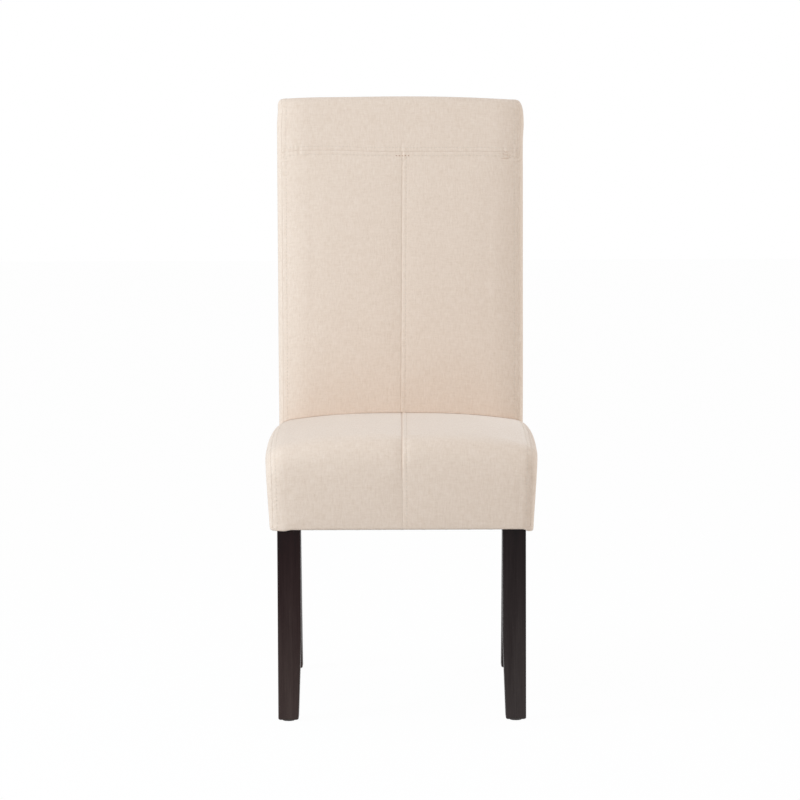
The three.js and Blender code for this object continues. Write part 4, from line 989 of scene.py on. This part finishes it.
def back_half(side):
    """The grids of one half of the back, made at the right: front, yoke, side and rear."""
    columns = half_columns(BACK_REACH)
    edge_x = BACK_TOP_WIDTH / 2 - edge_columns(BACK_CORNER_RADIUS, np.array([[BACK_SEAM_INSET]]))[0]
    x = np.concatenate([columns, edge_x])[None, :]
    lower, yoke, rear_arc = back_section(x, side)
    front_side = np.concatenate([
        low_front_of_side(lower[0, -1]), lower[:, -1], yoke[:len(yoke) - CREST_STEPS, -1],
    ])
    levels = front_side[:len(front_side) - TOP_ARC_STEPS, 2, None]
    levels = (levels - levels[0]) / (levels[-1] - levels[0])
    rear = np.concatenate([back_rear_wall(x, levels), rear_arc[1:]])
    face = back_side(front_side, rear[:, -1])

    below = YOKE_SEAM_LEVEL - lower[..., 2]
    above = yoke[..., 2] - YOKE_SEAM_LEVEL
    lower = cloth_grid(wandering(lower, side), BACK_INSIDE)
    yoke = cloth_grid(wandering(yoke, side), YOKE_INSIDE)
    rear = cloth_grid(wandering(rear, side), BACK_INSIDE)
    face = cloth_grid(wandering(face, side), BACK_INSIDE)
    face[..., WEAVE] = along_posts(face)
    lower[..., ALONG] += YOKE_SEAM_LEVEL - lower[-1, 0, ALONG]
    yoke[..., ALONG] += YOKE_SEAM_LEVEL

    split = len(columns)
    from_seam = x - BACK_TOP_WIDTH / 2 + BACK_SEAM_INSET
    settle = np.concatenate([np.ones((1, split)), 1 - smooth_share(shares(EDGE_STEPS)).T], axis=1)
    side_low, side_high = (
        (side_relief(from_seam, grid[..., ALONG], side) + max(side, 0) * fan_of_folds(grid)) * settle
        for grid in (lower, yoke)
    )
    yoke_low = seam_relief(below, side * lower[..., ACROSS], "yoke")
    yoke_high = seam_relief(above, side * yoke[..., ACROSS], "yoke")
    middle_stitched = BACK_STITCHED_SHARE * max(side, 0)
    yoke_low = yoke_low + seam_relief(x, lower[..., ALONG], "back middle", side, stitched=middle_stitched)
    middle = pressed_out(lower[:, :split], BACK_FREE_SHARE)
    middle = raised(middle, (side_low + yoke_low)[:, :split])
    yoke_middle = raised(yoke[:, :split], (side_high + yoke_high)[:, :split])
    yoke_middle[-1, :, POINT] += (yoke[-2, :split, POINT] - yoke[-1, :split, POINT]) * YOKE_END_SHARE
    rear = raised(rear, side_relief(from_seam, rear[..., ALONG], side, "rear") * settle)
    strip = np.concatenate([
        raised(lower, side_low)[:, split:], raised(yoke, side_high)[:, split:], rear[::-1, split:][1:],
    ])
    strip[..., WEAVE] = along_posts(strip)
    hems = [hem(strip[-1], BACK_LOWER_RADIUS, layer=1), hem(face[0], BACK_LOWER_RADIUS, layer=2)]
    return {
        "lower": middle,
        "yoke": yoke_middle,
        "rear": rear[:, :split],
        "main panel": [with_lips(middle, FIRST_COLUMN, LAST_COLUMN, LAST_ROW)],
        "side panel": [with_lips(strip, FIRST_COLUMN), face, *hems],
    }


def whole(halves, name):
    """A grid from one side to the other, from the grids of both halves made at the right."""
    return np.concatenate([mirrored(halves["left"][name])[:, ::-1], halves["right"][name]], axis=1)


# Topstitching

def nearest(places, place):
    return int(np.argmin(np.abs(np.asarray(places) - place)))


def stitch_row(name, path, material, slot, pitch, length, radius):
    """A row of short stitches or staples along a path of grid points, as one mesh."""
    points = path[:, POINT] + path[:, NORMAL] * radius * (1 - STITCH_SINK_SHARE)
    along = lengths_along(points[:, None])
    count = int(along[-1] / pitch)
    middles = (np.arange(count)[:, None] + 0.5) * along[-1] / count
    places = middles + np.array(STITCH_STATION_SHARES) * length / 2
    centre = read_along(places, along, points)
    normal = read_along(places, along, path[:, NORMAL])
    across = np.cross(np.gradient(centre, axis=1), normal)
    across /= np.linalg.norm(across, axis=-1, keepdims=True)
    centre = centre - normal * radius * np.array(STITCH_DIP_SHARES)[None, :, None]
    turn = np.linspace(0, 2 * math.pi, THREAD_SIDES, endpoint=False)[None, None, :, None]
    round_it = np.cos(turn) * across[:, :, None] + np.sin(turn) * normal[:, :, None]
    rings = centre[:, :, None] + radius * np.array(STITCH_RADIUS_SHARES)[None, :, None, None] * round_it
    stations = len(STITCH_STATION_SHARES)
    sides = np.arange(THREAD_SIDES)
    first = np.arange(stations - 1)[:, None] * THREAD_SIDES + sides
    second = np.roll(first, -1, axis=1)
    ring_faces = np.stack([first, first + THREAD_SIDES, second + THREAD_SIDES, second], axis=-1)
    last = (stations - 1) * THREAD_SIDES
    faces = []
    for start in np.arange(count) * stations * THREAD_SIDES:
        faces.extend((ring_faces.reshape(-1, 4) + start).tolist())
        faces.append((sides + start).tolist())
        faces.append((sides[::-1] + start + last).tolist())
    return own(object_of(name, rings.reshape(-1, 3), faces, material))


def read_along(places, along, values):
    """Vectors given along a path, read at other places on it."""
    return np.stack([np.interp(places, along, values[:, axis]) for axis in range(3)], axis=-1)


# Materials, all from nodes

class Graph:
    """Short ways to build the nodes of a material or of the world."""

    def __init__(self, owner, shader="Principled BSDF"):
        owner.use_nodes = True
        self.tree = owner.node_tree
        self.shader = self.tree.nodes[shader]

    @cached_property
    def place(self):
        """Where each point lies, for the patterns: on the object, unless it is set otherwise."""
        return self.add("TexCoord").node.outputs["Object"]

    def add(self, kind, inputs=(), **settings):
        """Adds a node, sets or links its inputs by name or number, and returns its first output."""
        node = with_settings(self.tree.nodes.new("ShaderNode" + kind), **settings)
        for name, value in dict(inputs).items():
            self.feed(node.inputs[name], value)
        return next(output for output in node.outputs if output.enabled)

    def feed(self, socket, value):
        if isinstance(value, bpy.types.NodeSocket):
            self.tree.links.new(value, socket)
        else:
            socket.default_value = value

    def set(self, **values):
        for name, value in values.items():
            self.feed(self.shader.inputs[name.replace("_", " ")], value)

    def stretched(self, scale):
        scales = np.broadcast_to(scale, 3).tolist()
        return self.add("VectorMath", {0: self.place, 1: scales}, operation="MULTIPLY")

    def noise(self, scale, detail=2.0, roughness=0.5):
        """Noise whose features are one over the scale long, along each axis or along all."""
        inputs = {"Vector": self.stretched(scale), "Scale": 1.0}
        return self.add("TexNoise", {**inputs, "Detail": detail, "Roughness": roughness})

    def cells(self, scale):
        return self.add("TexVoronoi", {"Vector": self.place, "Scale": scale})

    def math(self, operation, first, second):
        return self.add("Math", {0: first, 1: second}, operation=operation)

    def total(self, *weighted, base=None):
        """The sum of outputs, each times its weight, and of the base where there is one."""
        parts = [self.math("MULTIPLY", output, weight) for output, weight in weighted]
        if base is not None:
            parts.append(base)
        summed = parts[0]
        for part in parts[1:]:
            summed = self.math("ADD", summed, part)
        return summed

    def ramp(self, factor, *stops):
        """A colour ramp. Each stop is a place and an sRGB colour from 0 to 255."""
        made = self.add("ValToRGB", {"Fac": factor})
        ramp = made.node.color_ramp
        while len(ramp.elements) < len(stops):
            ramp.elements.new(0.5)
        for element, (place, colour) in zip(ramp.elements, stops):
            element.position = place
            element.color = linear(colour)
        return made

    def between(self, value, span, ends):
        """One end over to the other while the value runs over its span."""
        names = ("Value", "From Min", "From Max", "To Min", "To Max")
        return self.add("MapRange", zip(names, (value, *span, *ends)))

    def bump(self, height, distance, strength=1.0):
        inputs = {"Height": height, "Distance": distance, "Strength": strength}
        self.set(Normal=self.add("Bump", inputs))


def linear(colour):
    """An sRGB colour from 0 to 255 as linear red, green, blue and alpha."""
    share = np.array(colour) / 255
    low = share / 12.92
    high = ((share + 0.055) / 1.055) ** 2.4
    return (*np.where(share <= 0.04045, low, high).tolist(), 1.0)


def weave_waves(graph, pitch):
    """Threads that pass over and under each other at this pitch, as a height from -1 to 1."""
    turned = graph.stretched(math.pi / pitch)
    parts = graph.add("SeparateXYZ", {0: turned}).node.outputs
    waves = [graph.add("Math", {0: part}, operation="SINE") for part in parts[:2]]
    return graph.math("MULTIPLY", *waves)


def linen(graph):
    """Uneven threads both ways, a faint mottling, and the weave in the bumps."""
    graph.place = graph.add("Attribute", attribute_name="weave").node.outputs["Vector"]
    warp = graph.noise((260, 70, 1), 2.0, 0.6)
    weft = graph.noise((70, 260, 1), 2.0, 0.6)
    fine_warp = graph.noise((560, 85, 1))
    fine_weft = graph.noise((110, 620, 1))
    mottling = graph.noise((14, 14, 1), 3.0)
    parts = ((warp, 0.27), (weft, 0.23), (fine_warp, 0.27), (fine_weft, 0.16), (mottling, 0.07))
    stops = ((0.32, LINEN_DARK), (0.5, LINEN_COLOUR), (0.68, LINEN_LIGHT))
    graph.set(Base_Color=graph.ramp(graph.total(*parts), *stops), Roughness=0.85)
    graph.set(Specular_IOR_Level=0.3, Sheen_Weight=0.35, Sheen_Roughness=0.45)
    waves = weave_waves(graph, WEAVE_PITCH)
    height = graph.total((waves, 0.25), (warp, 0.9), (weft, 0.9), (fine_warp, 0.5), (fine_weft, 0.5))
    graph.bump(height, LINEN_BUMP, 0.8)


def twisted_thread(graph, dark, light):
    twist = graph.noise(2600)
    graph.set(Base_Color=graph.ramp(twist, (0.3, dark), (0.7, light)))
    graph.set(Roughness=0.7, Specular_IOR_Level=0.35)
    graph.bump(twist, THREAD_BUMP)


def wood(graph, stops, roughness, coat=0.0, painted_lift=0.0, grain=1.0):
    """Wood with its grain along Z: long fibres, broader figure and short dark pores."""
    fibres = graph.noise((900, 900, 14), 3.0, 0.6)
    figure = graph.noise((70, 70, 3.5))
    pores = graph.noise((1500, 1500, 60), 1.0)
    tone = graph.total((fibres, 0.4 * grain), (figure, 0.45 * grain), (pores, 0.15 * grain), base=painted_lift)
    colour = graph.ramp(tone, *stops)
    worn = graph.total((figure, 0.16), (fibres, 0.10), base=roughness - 0.13)
    graph.set(Base_Color=colour, Roughness=worn, Coat_Weight=coat, Coat_Roughness=0.28)
    graph.bump(graph.total((fibres, 0.6), (pores, 0.4)), WOOD_BUMP, 0.5)
    return colour


def espresso_wood(graph):
    """Dark stain, lighter towards the feet and darker at the top as painted light and shade, and redder on
    the left legs than on the right ones.
    """
    place = graph.add("SeparateXYZ", {0: graph.place}).node.outputs
    painted_lifts = [(1 - STAIN_GRAIN) / 2 + painted_lift for painted_lift in LEG_PAINTED_LIGHT_LIFTS]
    # Painted light and shade: the tone is lifted at the foot and lowered under the seat, by height
    painted_lift = graph.between(place["Z"], (0, SEAT_LOWER_EDGE), painted_lifts)
    stops = ((0.38, (16, 9, 9)), (0.5, (28, 16, 16)), (0.62, (42, 31, 30)), (0.85, (68, 58, 55)))
    colour = wood(graph, stops, 0.42, 0.03, painted_lift, STAIN_GRAIN)
    sides = (-LEG_INNER_X, LEG_INNER_X)
    inputs = {
        "Saturation": graph.between(place["X"], sides, STAIN_SATURATIONS),
        "Value": graph.between(place["X"], sides, STAIN_VALUES),
        "Color": colour,
    }
    graph.set(Base_Color=graph.add("HueSaturation", inputs), Specular_IOR_Level=0.12)


def jute(graph):
    fibres = graph.noise(900, 3.0, 0.65)
    waves = weave_waves(graph, JUTE_PITCH)
    tone = graph.total((fibres, 0.8), (waves, 0.12))
    stops = ((0.25, (98, 76, 48)), (0.45, (148, 121, 83)), (0.62, (181, 155, 115)))
    graph.set(Base_Color=graph.ramp(tone, *stops), Roughness=0.92)
    graph.bump(graph.total((waves, 0.7), (fibres, 0.5)), JUTE_BUMP)


def foam(graph):
    cells = graph.cells(700.0)
    tone = graph.total((cells, 0.35), (graph.noise(22), 0.65))
    graph.set(Base_Color=graph.ramp(tone, (0.25, (214, 198, 148)), (0.6, (243, 232, 192))), Roughness=0.95)
    graph.bump(cells, FOAM_BUMP)


def dust_cloth(graph):
    fibres = graph.noise(600, 4.0, 0.7)
    dots = graph.cells(420.0)
    graph.set(Base_Color=graph.ramp(fibres, (0.3, (20, 20, 21)), (0.7, (46, 46, 48))), Roughness=0.9)
    graph.bump(graph.total((fibres, 0.5), (dots, 0.5)), DUST_CLOTH_BUMP)


def steel(graph):
    zinc = graph.noise(160, 3.0)
    scratches = graph.noise((2500, 140, 140))
    graph.set(Base_Color=graph.ramp(zinc, (0.3, (158, 160, 160)), (0.7, (204, 205, 203))), Metallic=1.0)
    graph.set(Roughness=graph.total((zinc, 0.25), (scratches, 0.15), base=0.14))


def plastic(graph):
    scuffs = graph.noise(90, 3.0)
    graph.set(Base_Color=graph.ramp(scuffs, (0.3, (48, 44, 42)), (0.7, (70, 65, 62))))
    graph.set(Roughness=graph.total((scuffs, 0.3), base=0.3))
    graph.bump(graph.noise(1800), PLASTIC_BUMP)


def material_of(name, make, *choices):
    """A material whose nodes a function makes, by these choices of its own."""
    made = bpy.data.materials.new(name)
    make(Graph(made), *choices)
    return made


FRAME_WOOD = ((0.38, (178, 143, 98)), (0.5, (205, 173, 128)), (0.62, (224, 196, 154)))

FINISHES = {
    "linen": material_of("linen", linen),
    "espresso_wood": material_of("espresso_wood", espresso_wood),
    "frame_wood": material_of("frame_wood", wood, FRAME_WOOD, 0.66),
    "webbing": material_of("jute_webbing", jute),
    "foam": material_of("foam", foam),
    "dust_cloth": material_of("dust_cloth", dust_cloth),
    "steel": material_of("steel", steel),
    "glide_plastic": material_of("glide_plastic", plastic),
}
THREAD = material_of("thread", twisted_thread, (206, 190, 172), (232, 220, 206))
# A darker thread, which paints shade on the stitches where the back's seams meet
SHADED_THREAD = material_of("shaded_thread", twisted_thread, (186, 154, 131), (204, 173, 150))


# The CAD nodes' finishes. The material that a node comes with is named after its slot.

NODE_SLOTS = {name: node.material_slots[0].material.name for name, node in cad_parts.items()}


def finish_nodes():
    for name, slot in NODE_SLOTS.items():
        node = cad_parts[name]
        for material_slot in node.material_slots:
            material_slot.material = FINISHES[slot]
        if slot == "espresso_wood":
            modify(node, "WELD", merge_threshold=WELD_DISTANCE)
            modify(
                node, "BEVEL", width=LEG_EDGE_RADIUS, segments=2,
                limit_method="ANGLE", angle_limit=EDGE_ANGLE,
            )


finish_nodes()


# Putting the covers on

def own(piece):
    """A piece of the chair, attached to the root body."""
    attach(piece, "root")
    return piece


def area_of(piece):
    return sum(polygon.area for polygon in piece.data.polygons)


def cloth_piece(name, grids, slot, node, thickness, offset=-1):
    """A panel of cloth in place of its CAD node, as thick as the cloth is."""
    piece = own(cloth_panel(name, grids, FINISHES[slot]))
    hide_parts(node)
    modify(piece, "SOLIDIFY", thickness=thickness, offset=offset)
    return piece


def cover(name, grids, node):
    """One panel of the covers. The size that it was cut to is worked out but not kept."""
    piece = cloth_piece(name, grids, "linen", node, CLOTH_THICKNESS)
    flat = np.ptp(np.concatenate([grid[..., WEAVE].reshape(-1, 2) for grid in grids]), axis=0)
    area = area_of(piece)
    flat = flat * max(1.0, math.sqrt(area / flat[0] / flat[1]))


def topstitch(name, path, side="right"):
    return stitch_row(name, on_side(path, side), THREAD, "linen", **STITCH)


def on_side(grid, side):
    """A grid that was made at the right, put on its side of the chair."""
    return mirrored(grid) if side == "left" else grid


def stitched_columns(reach):
    """The columns of a half's grid that lie under the rows beside its middle and its side seam."""
    columns = half_columns(reach)
    return nearest(columns, STITCH_ROW_OFFSET), nearest(columns, reach - STITCH_ROW_OFFSET)


def seat_stitches(halves):
    """One row beside the middle seam, and one inside each side seam, by the cover they are on."""
    inner, outer = stitched_columns(SEAT_REACH)
    shown = {side: halves[side]["main"][:-REAR_ARC_STEPS - REAR_WALL_STEPS] for side in SIDES}
    rows = {side: [topstitch(f"stitches_seat_{side}", shown[side][:, outer], side)] for side in SIDES}
    rows["right"].append(topstitch("stitches_seat_middle", shown["right"][:, inner]))
    return rows


def cover_halves(part, halves, rests_on, side_rests_on, rows):
    """Covers both halves of the seat or the back, each with a main panel and a side panel."""
    for side in SIDES:
        panels = (
            (part, "main panel", rests_on, rows[side]),
            (f"{part}_side", "side panel", [f"{node}_{side}" for node in side_rests_on], ()),
        )
        for name, panel, nodes, stitches in panels:
            grids = [on_side(grid, side) for grid in halves[side][panel]]
            cover(f"linen_{name}_{side}", grids, f"{name}_cover_{side}")


def seat_covers():
    halves = {side: seat_half(sign) for side, sign in SIDES.items()}
    rows = seat_stitches(halves)
    cover_halves("seat", halves, ["seat_foam", "seat_front_pad"], ["seat_side_pad", "seat_rail"], rows)


def tack(row):
    """Five stitches that hold the seams together where they meet, in a darker thread that is painted
    shade.
    """
    near = row[np.abs(row[:, 0] - TACK_X) < TACK_REACH]
    return stitch_row("stitches_tack", near, SHADED_THREAD, "linen", **TACK_STITCH)


def back_stitches(halves):
    """Rows above and below the yoke seam, beside the middle seam, and inside each side seam."""
    inner, outer = stitched_columns(BACK_REACH)
    beyond_tack = nearest(half_columns(BACK_REACH), TACK_X + TACK_REACH)
    below, above = back_levels()
    low_row = TUCK_STEPS + nearest(below, LOWER_BACK_RUN - STITCH_ROW_OFFSET)
    high_row = nearest(above, STITCH_ROW_OFFSET)
    rows = {"yoke": [topstitch("stitches_yoke_above", whole(halves, "yoke")[high_row])]}
    for side in SIDES:
        lower = halves[side]["lower"]
        yoke = halves[side]["yoke"]
        rows[side] = [
            topstitch(f"stitches_yoke_below_{side}", lower[low_row, beyond_tack:], side),
            topstitch(f"stitches_back_{side}", lower[TUCK_STEPS:low_row, outer], side),
        ]
        rows["yoke"].append(topstitch(f"stitches_yoke_{side}", yoke[high_row:, outer], side))
    middle = halves["right"]["lower"][TUCK_STEPS:low_row, inner]
    rows["right"] += [topstitch("stitches_back_middle", middle), tack(whole(halves, "lower")[low_row])]
    return rows


def back_covers():
    halves = {side: back_half(sign) for side, sign in SIDES.items()}
    rows = back_stitches(halves)
    cover_halves("back", halves, ["back_foam"], ["back_side_pad", "rear_post"], rows)
    yoke = with_lips(whole(halves, "yoke"), FIRST_ROW, LAST_ROW, FIRST_COLUMN, LAST_COLUMN)
    cover("linen_yoke", [yoke], "back_yoke_cover")
    rear = whole(halves, "rear")
    fold = hem(rear[0], BACK_LOWER_RADIUS, BACK_FOLD_DEPTH)
    panel = [with_lips(rear, LAST_ROW, FIRST_COLUMN, LAST_COLUMN), fold]
    cover("linen_outside_back", panel, "back_outside_cover")


seat_covers()
back_covers()


# Filling: each pad is remeshed from its CAD solid, a little smaller and rounder

def pad(node_name):
    """A foam piece in the place of a CAD node, with its edges rounded off."""
    name = f"pad_{node_name}"
    piece = linked(name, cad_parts[node_name].data.copy())
    modify(piece, "WELD", merge_threshold=WELD_DISTANCE)
    modify(piece, "REMESH", mode="VOXEL", voxel_size=FOAM_VOXEL)
    modify(piece, "SMOOTH", iterations=FOAM_SMOOTHING)
    shown = piece.evaluated_get(bpy.context.evaluated_depsgraph_get())
    piece.data = bpy.data.meshes.new_from_object(shown)
    piece.data.name = name
    piece.modifiers.clear()
    draw_in(piece.data, FOAM_DRAW_IN)
    piece.data.shade_smooth()
    piece.data.materials.clear()
    piece.data.materials.append(FINISHES["foam"])
    own(piece)
    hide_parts(node_name)


def draw_in(mesh, depth):
    """Moves each point of a mesh in along its normal."""
    places = np.array([vertex.co for vertex in mesh.vertices])
    normals = np.array([vertex.normal for vertex in mesh.vertices])
    mesh.vertices.foreach_set("co", (places - normals * depth).ravel())
    mesh.update()


# Straps that carry the foam: woven jute, over and under each other in the seat

def box_of(node_name):
    """A node's lowest and highest corner, with Y counted from the seat's front face."""
    return np.array(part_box(node_name)) - (0, SEAT_FRONT_Y, 0)


def line_through(box, axis):
    """Points through the middle of a box, from its low end to its high end on this axis."""
    points = np.tile(np.mean(box, axis=0), (STRAP_STEPS, 1))
    points[:, axis] = np.linspace(*box[:, axis], STRAP_STEPS)
    return points


def strap(node_name, line, across):
    """A strap along a line of points, with its width running across."""
    width = np.linspace(-0.5, 0.5, STRAP_WIDTH_STEPS)[None, :, None] * STRAP_WIDTH
    points = line[:, None] + width * across
    grid = cloth_grid(points, points.mean(axis=(0, 1)) - STRAP_INSIDE)
    piece = cloth_piece(f"jute_{node_name}", [grid], "webbing", node_name, STRAP_THICKNESS, 0)


def woven_height(along, crossings):
    """The level of a strap that passes over or under others: each has a place and a sign."""
    reach = STRAP_WIDTH / 2 + STRAP_FLAT
    places = [along[0] + STRAP_HOLD]
    rises = [0.0]
    for place, sign in crossings:
        places += [place - reach, place + reach]
        rises += [sign * WEAVE_RISE] * 2
    return STRAP_LEVEL + np.interp(along, [*places, along[-1] - STRAP_HOLD], [*rises, 0.0])


def seat_straps():
    """Straps both ways, each of which passes over and under those that run the other way."""
    boxes = {
        way: [box_of(f"seat_strap_{way}_{i + 1}") for i in range(count)]
        for way, (count, *_) in STRAP_WAYS.items()
    }
    for way, (_, axis, sign, holders) in STRAP_WAYS.items():
        (other,) = set(STRAP_WAYS) - {way}
        places = [np.mean(box, axis=0)[axis] for box in boxes[other]]
        for i, box in enumerate(boxes[way]):
            line = line_through(box, axis)
            crossings = [(place, sign * (-1) ** (i + j)) for j, place in enumerate(places)]
            line[:, 2] = woven_height(line[:, axis], crossings)
            strap(f"seat_strap_{way}_{i + 1}", line, np.eye(3)[1 - axis])


def back_straps():
    for name in [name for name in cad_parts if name.startswith("back_strap")]:
        box = box_of(name)
        line = line_through(box, 0)
        line[:, 1] += STRAP_SAG * (1 - (line[:, 0] / box[1, 0]) ** 2)
        up = (box[1] - box[0]) * (0, 1, 1)
        strap(name, line, up / np.linalg.norm(up))


# The dust cover underneath, cut round the legs and stapled

def dust_sheet():
    low, high = box_of("dust_cover")
    low[1] += DUST_FRONT_INSET
    notch_y = LEG_FRONT_Y + LEG_WIDTH + DUST_LEG_CLEARANCE
    notch_x = LEG_INNER_X - DUST_LEG_CLEARANCE
    front = np.linspace(low[1], notch_y, DUST_NOTCH_STEPS)
    rear = np.linspace(notch_y, high[1], DUST_STEPS)
    middle = np.linspace(-notch_x, notch_x, DUST_STEPS)
    beside = np.linspace(notch_x, high[0], DUST_NOTCH_STEPS)

    def grid(x, y):
        x = np.array(x)[None, :]
        y = np.array(y)[:, None]
        free = (1 - (x / high[0]) ** 2) * np.sin(math.pi * (y - low[1]) / (high[1] - low[1]))
        ripple = DUST_RIPPLE * np.sin(x * DUST_RIPPLE_RATES[0]) * np.sin(y * DUST_RIPPLE_RATES[1])
        z = (low[2] + high[2]) / 2 - free * (DUST_SAG + ripple)
        return cloth_grid(points_of(x, y, z), DUST_INSIDE, (x, y))

    grids = [grid(middle, front), grid(middle, rear), grid(beside, rear), grid(-beside[::-1], rear)]
    piece = cloth_piece("dust_sheet", grids, "dust_cloth", "dust_cover", DUST_THICKNESS)
    rows = {
        "front": grid(middle, [low[1], low[1] + STAPLE_INSET])[1],
        "rear": grid(np.linspace(low[0], high[0], DUST_STEPS), [high[1] - STAPLE_INSET, high[1]])[0],
        "left": grid([low[0] + STAPLE_INSET, 0], rear)[:, 0],
        "right": grid([high[0] - STAPLE_INSET, 0], rear)[:, 0],
    }
    staples = [
        stitch_row(f"staples_{end}", row, FINISHES["steel"], "steel", **STAPLE)
        for end, row in rows.items()
    ]


for name, slot in NODE_SLOTS.items():
    if slot == "foam":
        pad(name)
seat_straps()
back_straps()
dust_sheet()


# Camera, light and floor

def camera():
    data = bpy.data.cameras.new("camera")
    with_settings(data, lens=CAMERA_LENS_MM, sensor_width=SENSOR_MM, clip_end=CAMERA_CLIP_END)
    made = linked("camera", data)
    tilt = Matrix.Rotation(math.pi / 2 - CAMERA_TILT, 4, "X")
    roll = Matrix.Rotation(CAMERA_ROLL, 4, "Z")
    place = Matrix.Translation((CAMERA_X, SEAT_FRONT_Y - CAMERA_DISTANCE, CAMERA_HEIGHT))
    made.matrix_world = place @ tilt @ roll
    bpy.context.scene.camera = made


def lamp(name, place, size, colour, power):
    data = bpy.data.lights.new(name, "AREA")
    made = linked(name, with_settings(data, shape="SQUARE", size=size, color=colour, energy=power))
    made.location = place
    made.rotation_euler = (Vector(LAMP_TARGET) - Vector(place)).to_track_quat("-Z", "Y").to_euler()


def seen_directly(graph):
    """Gives 1 for what the camera, a mirror or glass sees, and 0 for other light."""
    rays = graph.add("LightPath").node.outputs
    seen = rays["Is Camera Ray"]
    for name in ("Is Glossy Ray", "Is Transmission Ray"):
        seen = graph.math("MAXIMUM", seen, rays[name])
    return seen


def white_world():
    """A white surround, which lights the chair at a plain level."""
    world = bpy.data.worlds.new("studio")
    bpy.context.scene.world = world
    graph = Graph(world, "Background")
    strength = graph.between(seen_directly(graph), (0, 1), (WORLD_LIGHT, 1))
    graph.set(Color=WHITE, Strength=strength)


def floor_material(graph):
    """White to the eye, but for a share of the shadow that falls on it, and clear from below."""
    cloth = graph.add("BsdfDiffuse", {"Color": (FLOOR_ALBEDO, FLOOR_ALBEDO, FLOOR_ALBEDO, 1)})
    share = graph.math("MULTIPLY", seen_directly(graph), FLOOR_GLOW_SHARE)
    above = graph.add("MixShader", {"Fac": share, 1: cloth, 2: graph.add("Emission")})
    from_below = graph.add("NewGeometry").node.outputs["Backfacing"]
    clear = graph.add("BsdfTransparent")
    surface = graph.add("MixShader", {"Fac": from_below, 1: above, 2: clear})
    graph.feed(graph.tree.nodes["Material Output"].inputs["Surface"], surface)
    graph.tree.nodes.remove(graph.shader)


def floor():
    half = FLOOR_SIZE / 2
    corners = [(-half, -half, 0), (half, -half, 0), (half, half, 0), (-half, half, 0)]
    mesh = bpy.data.meshes.new("studio_floor")
    mesh.from_pydata(corners, [], [(0, 1, 2, 3)])
    mesh.materials.append(material_of("studio_floor", floor_material))
    linked("studio_floor", mesh)


camera()
for name, settings in LAMPS.items():
    lamp(name, **settings)
white_world()
floor()
bpy.context.scene.view_settings.view_transform = "Standard"
